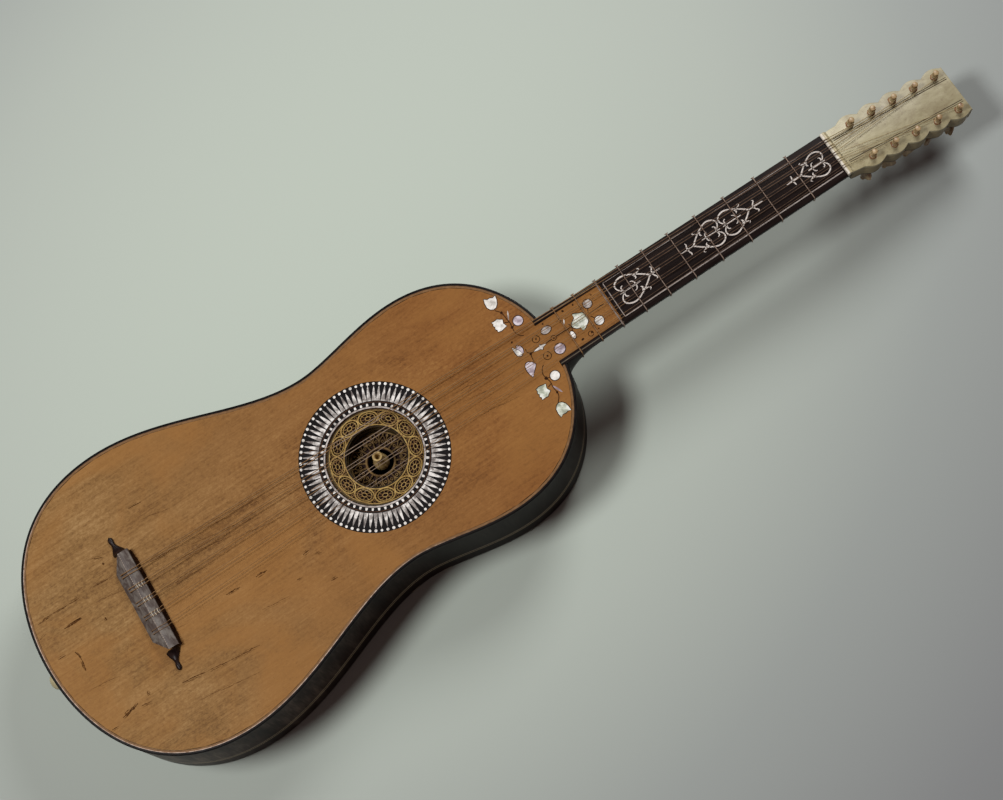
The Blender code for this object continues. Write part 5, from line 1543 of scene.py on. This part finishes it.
def makeStrings():
    f, b, n = stringForm, bridgeForm, neckForm
    base = bellyTop + gap
    level = base + f["height"]
    nutTop = base + n["nutHeight"]
    edge = 0.3 * n["nutLength"]
    for side, index, key in pegs:
        course, member = int(key[0]), key[1]
        radius = f["thick"][course] / 2
        xNut, xBridge = acrossAt(course, member, f["atNut"]), acrossAt(course, member, f["atBridge"])
        front = bridgeLine(xBridge) + b["front"]
        ridge = front - b["top"]
        air = 1.05 * radius + gap
        top = base + b["height"] + air
        fall = (b["height"] - b["backHeight"]) / (b["back"] + b["front"] - b["top"])
        out = ridge - (b["height"] - f["height"]) / fall
        # Up the bridge's front, back over its flat, round the slope and out under the loop
        loop = [
            (1, front + air, level - 0.8 * air), (1, front + air, (level + top) / 2),
            (1, front + 0.8 * air, top - 0.6 * air), (1, front - air, top + 0.1), (0.8, front - 4.0, top),
            (0.6, ridge, top + 0.1), (0.3, (ridge + out) / 2 - air, (top + level) / 2 + 1.4 * air),
            (0.15, out - 1.5 * air, level + 1.8 * air), (0, out - 1.9 * air, level + 0.5 * air),
            (0, out - 0.6 * air, level), (0, ridge, level), (0, front + air, level),
        ]
        line = flow([(xBridge + share * f["tie"], y, z) for share, y, z in loop], 4)
        # The long straight run to the nut, then down to the peg
        first = Vector((xNut, n["nutFrom"] + edge, nutTop + radius))
        last = Vector((xNut, n["nutFrom"] + n["nutLength"] - edge, nutTop + radius))
        line += [line[-1].lerp(first, k / 6) for k in range(1, 6)] + [first, last]
        line += windingLine(last, side, index, radius)
        mesh = bmesh.new()
        tubeInto(mesh, line, radius, 8)
        addPiece("gutString" + key.upper(), mesh, "gut", smooth=60, node="string_" + key)


# Peghead

def headLine(grow=0.0, steps=14):
    # Scalloped edge with a lobe at each peg, nut end first on the treble side
    f = headForm
    line = [(neckHalf(f["from"]) + grow, gap)]
    for i in range(steps * f["pegs"] + 1):
        along = f["firstPeg"] + f["pitch"] * (i / steps - 0.5)
        if along < 4.0 or along > f["length"] - 1.0:
            continue
        wave = abs(math.cos(math.pi * (along - f["firstPeg"]) / f["pitch"]))
        line.append((f["half"] + f["scallop"] * wave + grow, along))
    line.append((f["half"] + f["scallop"] * 0.3 + grow, f["length"] + grow))
    return line


def headPlate(name, finishName, low, high, rim=0.0, node=None):
    levels = [(low, 0.0), (high, 0.0)]
    if rim:
        levels[1:] = [(high - rim, 0.0), (high - 0.3 * rim, -0.3 * rim), (high, -rim)]
    rings = []
    for z, grow in levels:
        right = headLine(grow)
        rings.append([(x, y, z) for x, y in right] + [(-x, y, z) for x, y in reversed(right)])
    mesh = bmesh.new()
    loftInto(mesh, rings)
    addPiece(name, mesh, finishName, place=headPlace(), smooth=30, node=node)


def makeHead():
    f = headForm
    behind = -f["face"] - gap / 2 - f["thick"]
    coreLow = behind + f["backVeneer"]
    headPlate("pegheadCore", "headSide", coreLow, -f["face"], node="peghead")
    headPlate("pegheadBackVeneer", "neckWood", behind, coreLow)
    headPlate("pegheadPlate", "headBone", -f["face"] + 0.05, 0.0, 0.5, node="peghead_face")
    lines, slip, stains = (bmesh.new() for k in range(3))
    # A pair of inlaid dark lines on each side of the plain middle field
    for side in (-1, 1):
        for offset, wide in f["lines"]:
            quarters = (0.0, 0.25, 0.5, 0.75, 1.0)
            path = [(side * (offset + 0.4 * t), 2.0 + (f["length"] - 4.5) * t) for t in quarters]
            ribbonInto(lines, path, wide, -0.3, 0.04)
    addPiece("pegheadLines", lines, "headLine", place=headPlace())
    half = neckHalf(f["from"])
    start, end = neckForm["nutFrom"] + neckForm["nutLength"] + 0.05, f["from"] + 0.2
    barInto(slip, -half, half, start, end, bedTop + 0.1, bellyTop - 0.15)
    addPiece("pegheadNutSlip", slip, "headBone")
    for side in (-1, 1):
        for index in range(f["pegs"]):
            seed = 40 + index + 7 * side
            blotInto(stains, pegSpot(side, index), f["stain"], 14, (0.85, 1.12), seed, -0.2, 0.03)
    addPiece("pegheadStains", stains, "headStain", place=headPlace())


# Pegs

def makePegs():
    f = pegForm
    back = -headForm["face"] - headForm["thick"] - 2 * gap
    collarEnd = back - f["collarLength"]
    stemEnd = collarEnd - f["stemLength"]
    headEnd = stemEnd - f["headLong"]
    wide, thick = f["headWide"] / 2, f["headThick"] / 2
    button, tip, shank, front, collar, stem = (
        f[k] for k in ("button", "tip", "tipRadius", "front", "collar", "stem")
    )
    turned = [
        (0.25 * button, tip), (0.7 * button, tip - 0.12), (button, tip - 0.55), (button, tip - 1.0),
        (0.86 * button, tip - 1.5), (shank, tip - 1.9), (0.98 * shank, 4.6), (shank, 1.0),
        (front - 0.2, 0.6), (front, 0.2), (front, -0.4), (f["back"], back + 0.3),
        (collar - 0.5, back), (collar, back - 0.4), (collar - 0.1, back - 0.9),
        (collar - 1.0, collarEnd + 0.5), (stem + 0.2, collarEnd - 0.4),
        (stem - 0.35, collarEnd - 1.8), (stem - 0.3, stemEnd + 1.6), (stem + 0.35, stemEnd + 0.7),
    ]
    bead = [(0.7, 0.2), (0.95, -0.8), (1.0, -1.9), (0.8, -3.2), (0.3, -4.1)]
    rings = [(r, r, z) for r, z in turned]
    rings += [(wide * across, thick * deep, stemEnd - f["headLong"] * t) for t, across, deep in f["head"]]
    rings += [(share * f["bead"], share * f["bead"], headEnd + z) for share, z in bead]
    hub = stemEnd - f["headLong"] / 2
    for turn, (side, index, key) in enumerate(pegs):
        mesh = bmesh.new()
        loftInto(mesh, [[(a * u, b * v, z) for u, v in circle(1.0, 20)] for a, b, z in rings])
        # A shallow disc carved in both faces of the head
        for face in (-1, 1):
            loop = [(x, face * thick * 0.62, hub + z) for x, z in circle(f["disc"], 24)]
            tubeInto(mesh, loop, f["discCord"], 6, closed=True)
        place = headPlace() @ Matrix.Translation(Vector((*pegSpot(side, index), 0.0)) * mm)
        place = place @ Matrix.Rotation(math.radians(f["turnStep"] * turn), 4, "Z")
        name, body, node = "turnedPeg" + key.upper(), "tuner_" + key, "peg_" + key
        addPiece(name, mesh, "pegWood", body, place, 50, node)


# End button

buttonForm = {
    "height": 45.0, "stem": 3.5, "stemLong": 12.0,
    # Radius, and share of the way from the rib to the button's far end
    "profile": [
        (0.1, 1.0), (1.2, 0.995), (3.2, 0.965), (5.0, 0.90), (6.5, 0.78), (7.3, 0.64), (7.5, 0.55),
        (7.2, 0.44), (6.2, 0.35), (5.0, 0.29), (4.3, 0.22), (4.5, 0.13), (5.4, 0.06),
    ],
}


def makeButton():
    f = buttonForm
    start = bodyForm["tail"][1]
    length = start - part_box("end_button")[0][1] / mm
    profile = [(radius, share * length) for radius, share in f["profile"]]
    profile += [(5.8, 0.02), (f["stem"], 0.0), (f["stem"], -f["stemLong"]), (0.1, -f["stemLong"])]
    mesh = bmesh.new()
    turnedInto(mesh, profile, 36)
    place = Matrix.Translation(Vector((0.0, start, f["height"])) * mm) @ Matrix.Rotation(math.pi / 2, 4, "X")
    addPiece("endButton", mesh, "bone", place=place, smooth=40, node="end_button")


print("binding, ribs and back")
makeEdges()
makeRibs()
makeBack()
print("rosette and rose")
makeRosette()
makeUpperTier()
makeWell()
makeLowerTier()
makeTurret()
print("inlays and marks of the belly")
makeGarden()
makeMarks()
print("neck, fingerboard, frets and nut")
makeNeck()
makeBoard()
makeScrolls()
makeFrets()
makeNut()
print("bridge and strings")
makeBridge()
makeBridgeTrim()
makeFinials()
makeStrings()
print("peghead, pegs and button")
makeHead()
makePegs()
makeButton()

dress("spruce", "belly")
dress("pine", "neck_block", "tail_block", "belly_lining_bass", "belly_lining_treble")
dress("pine", "belly_bar_upper", "belly_bar_middle", "belly_bar_lower", "back_bar_upper", "back_bar_lower")
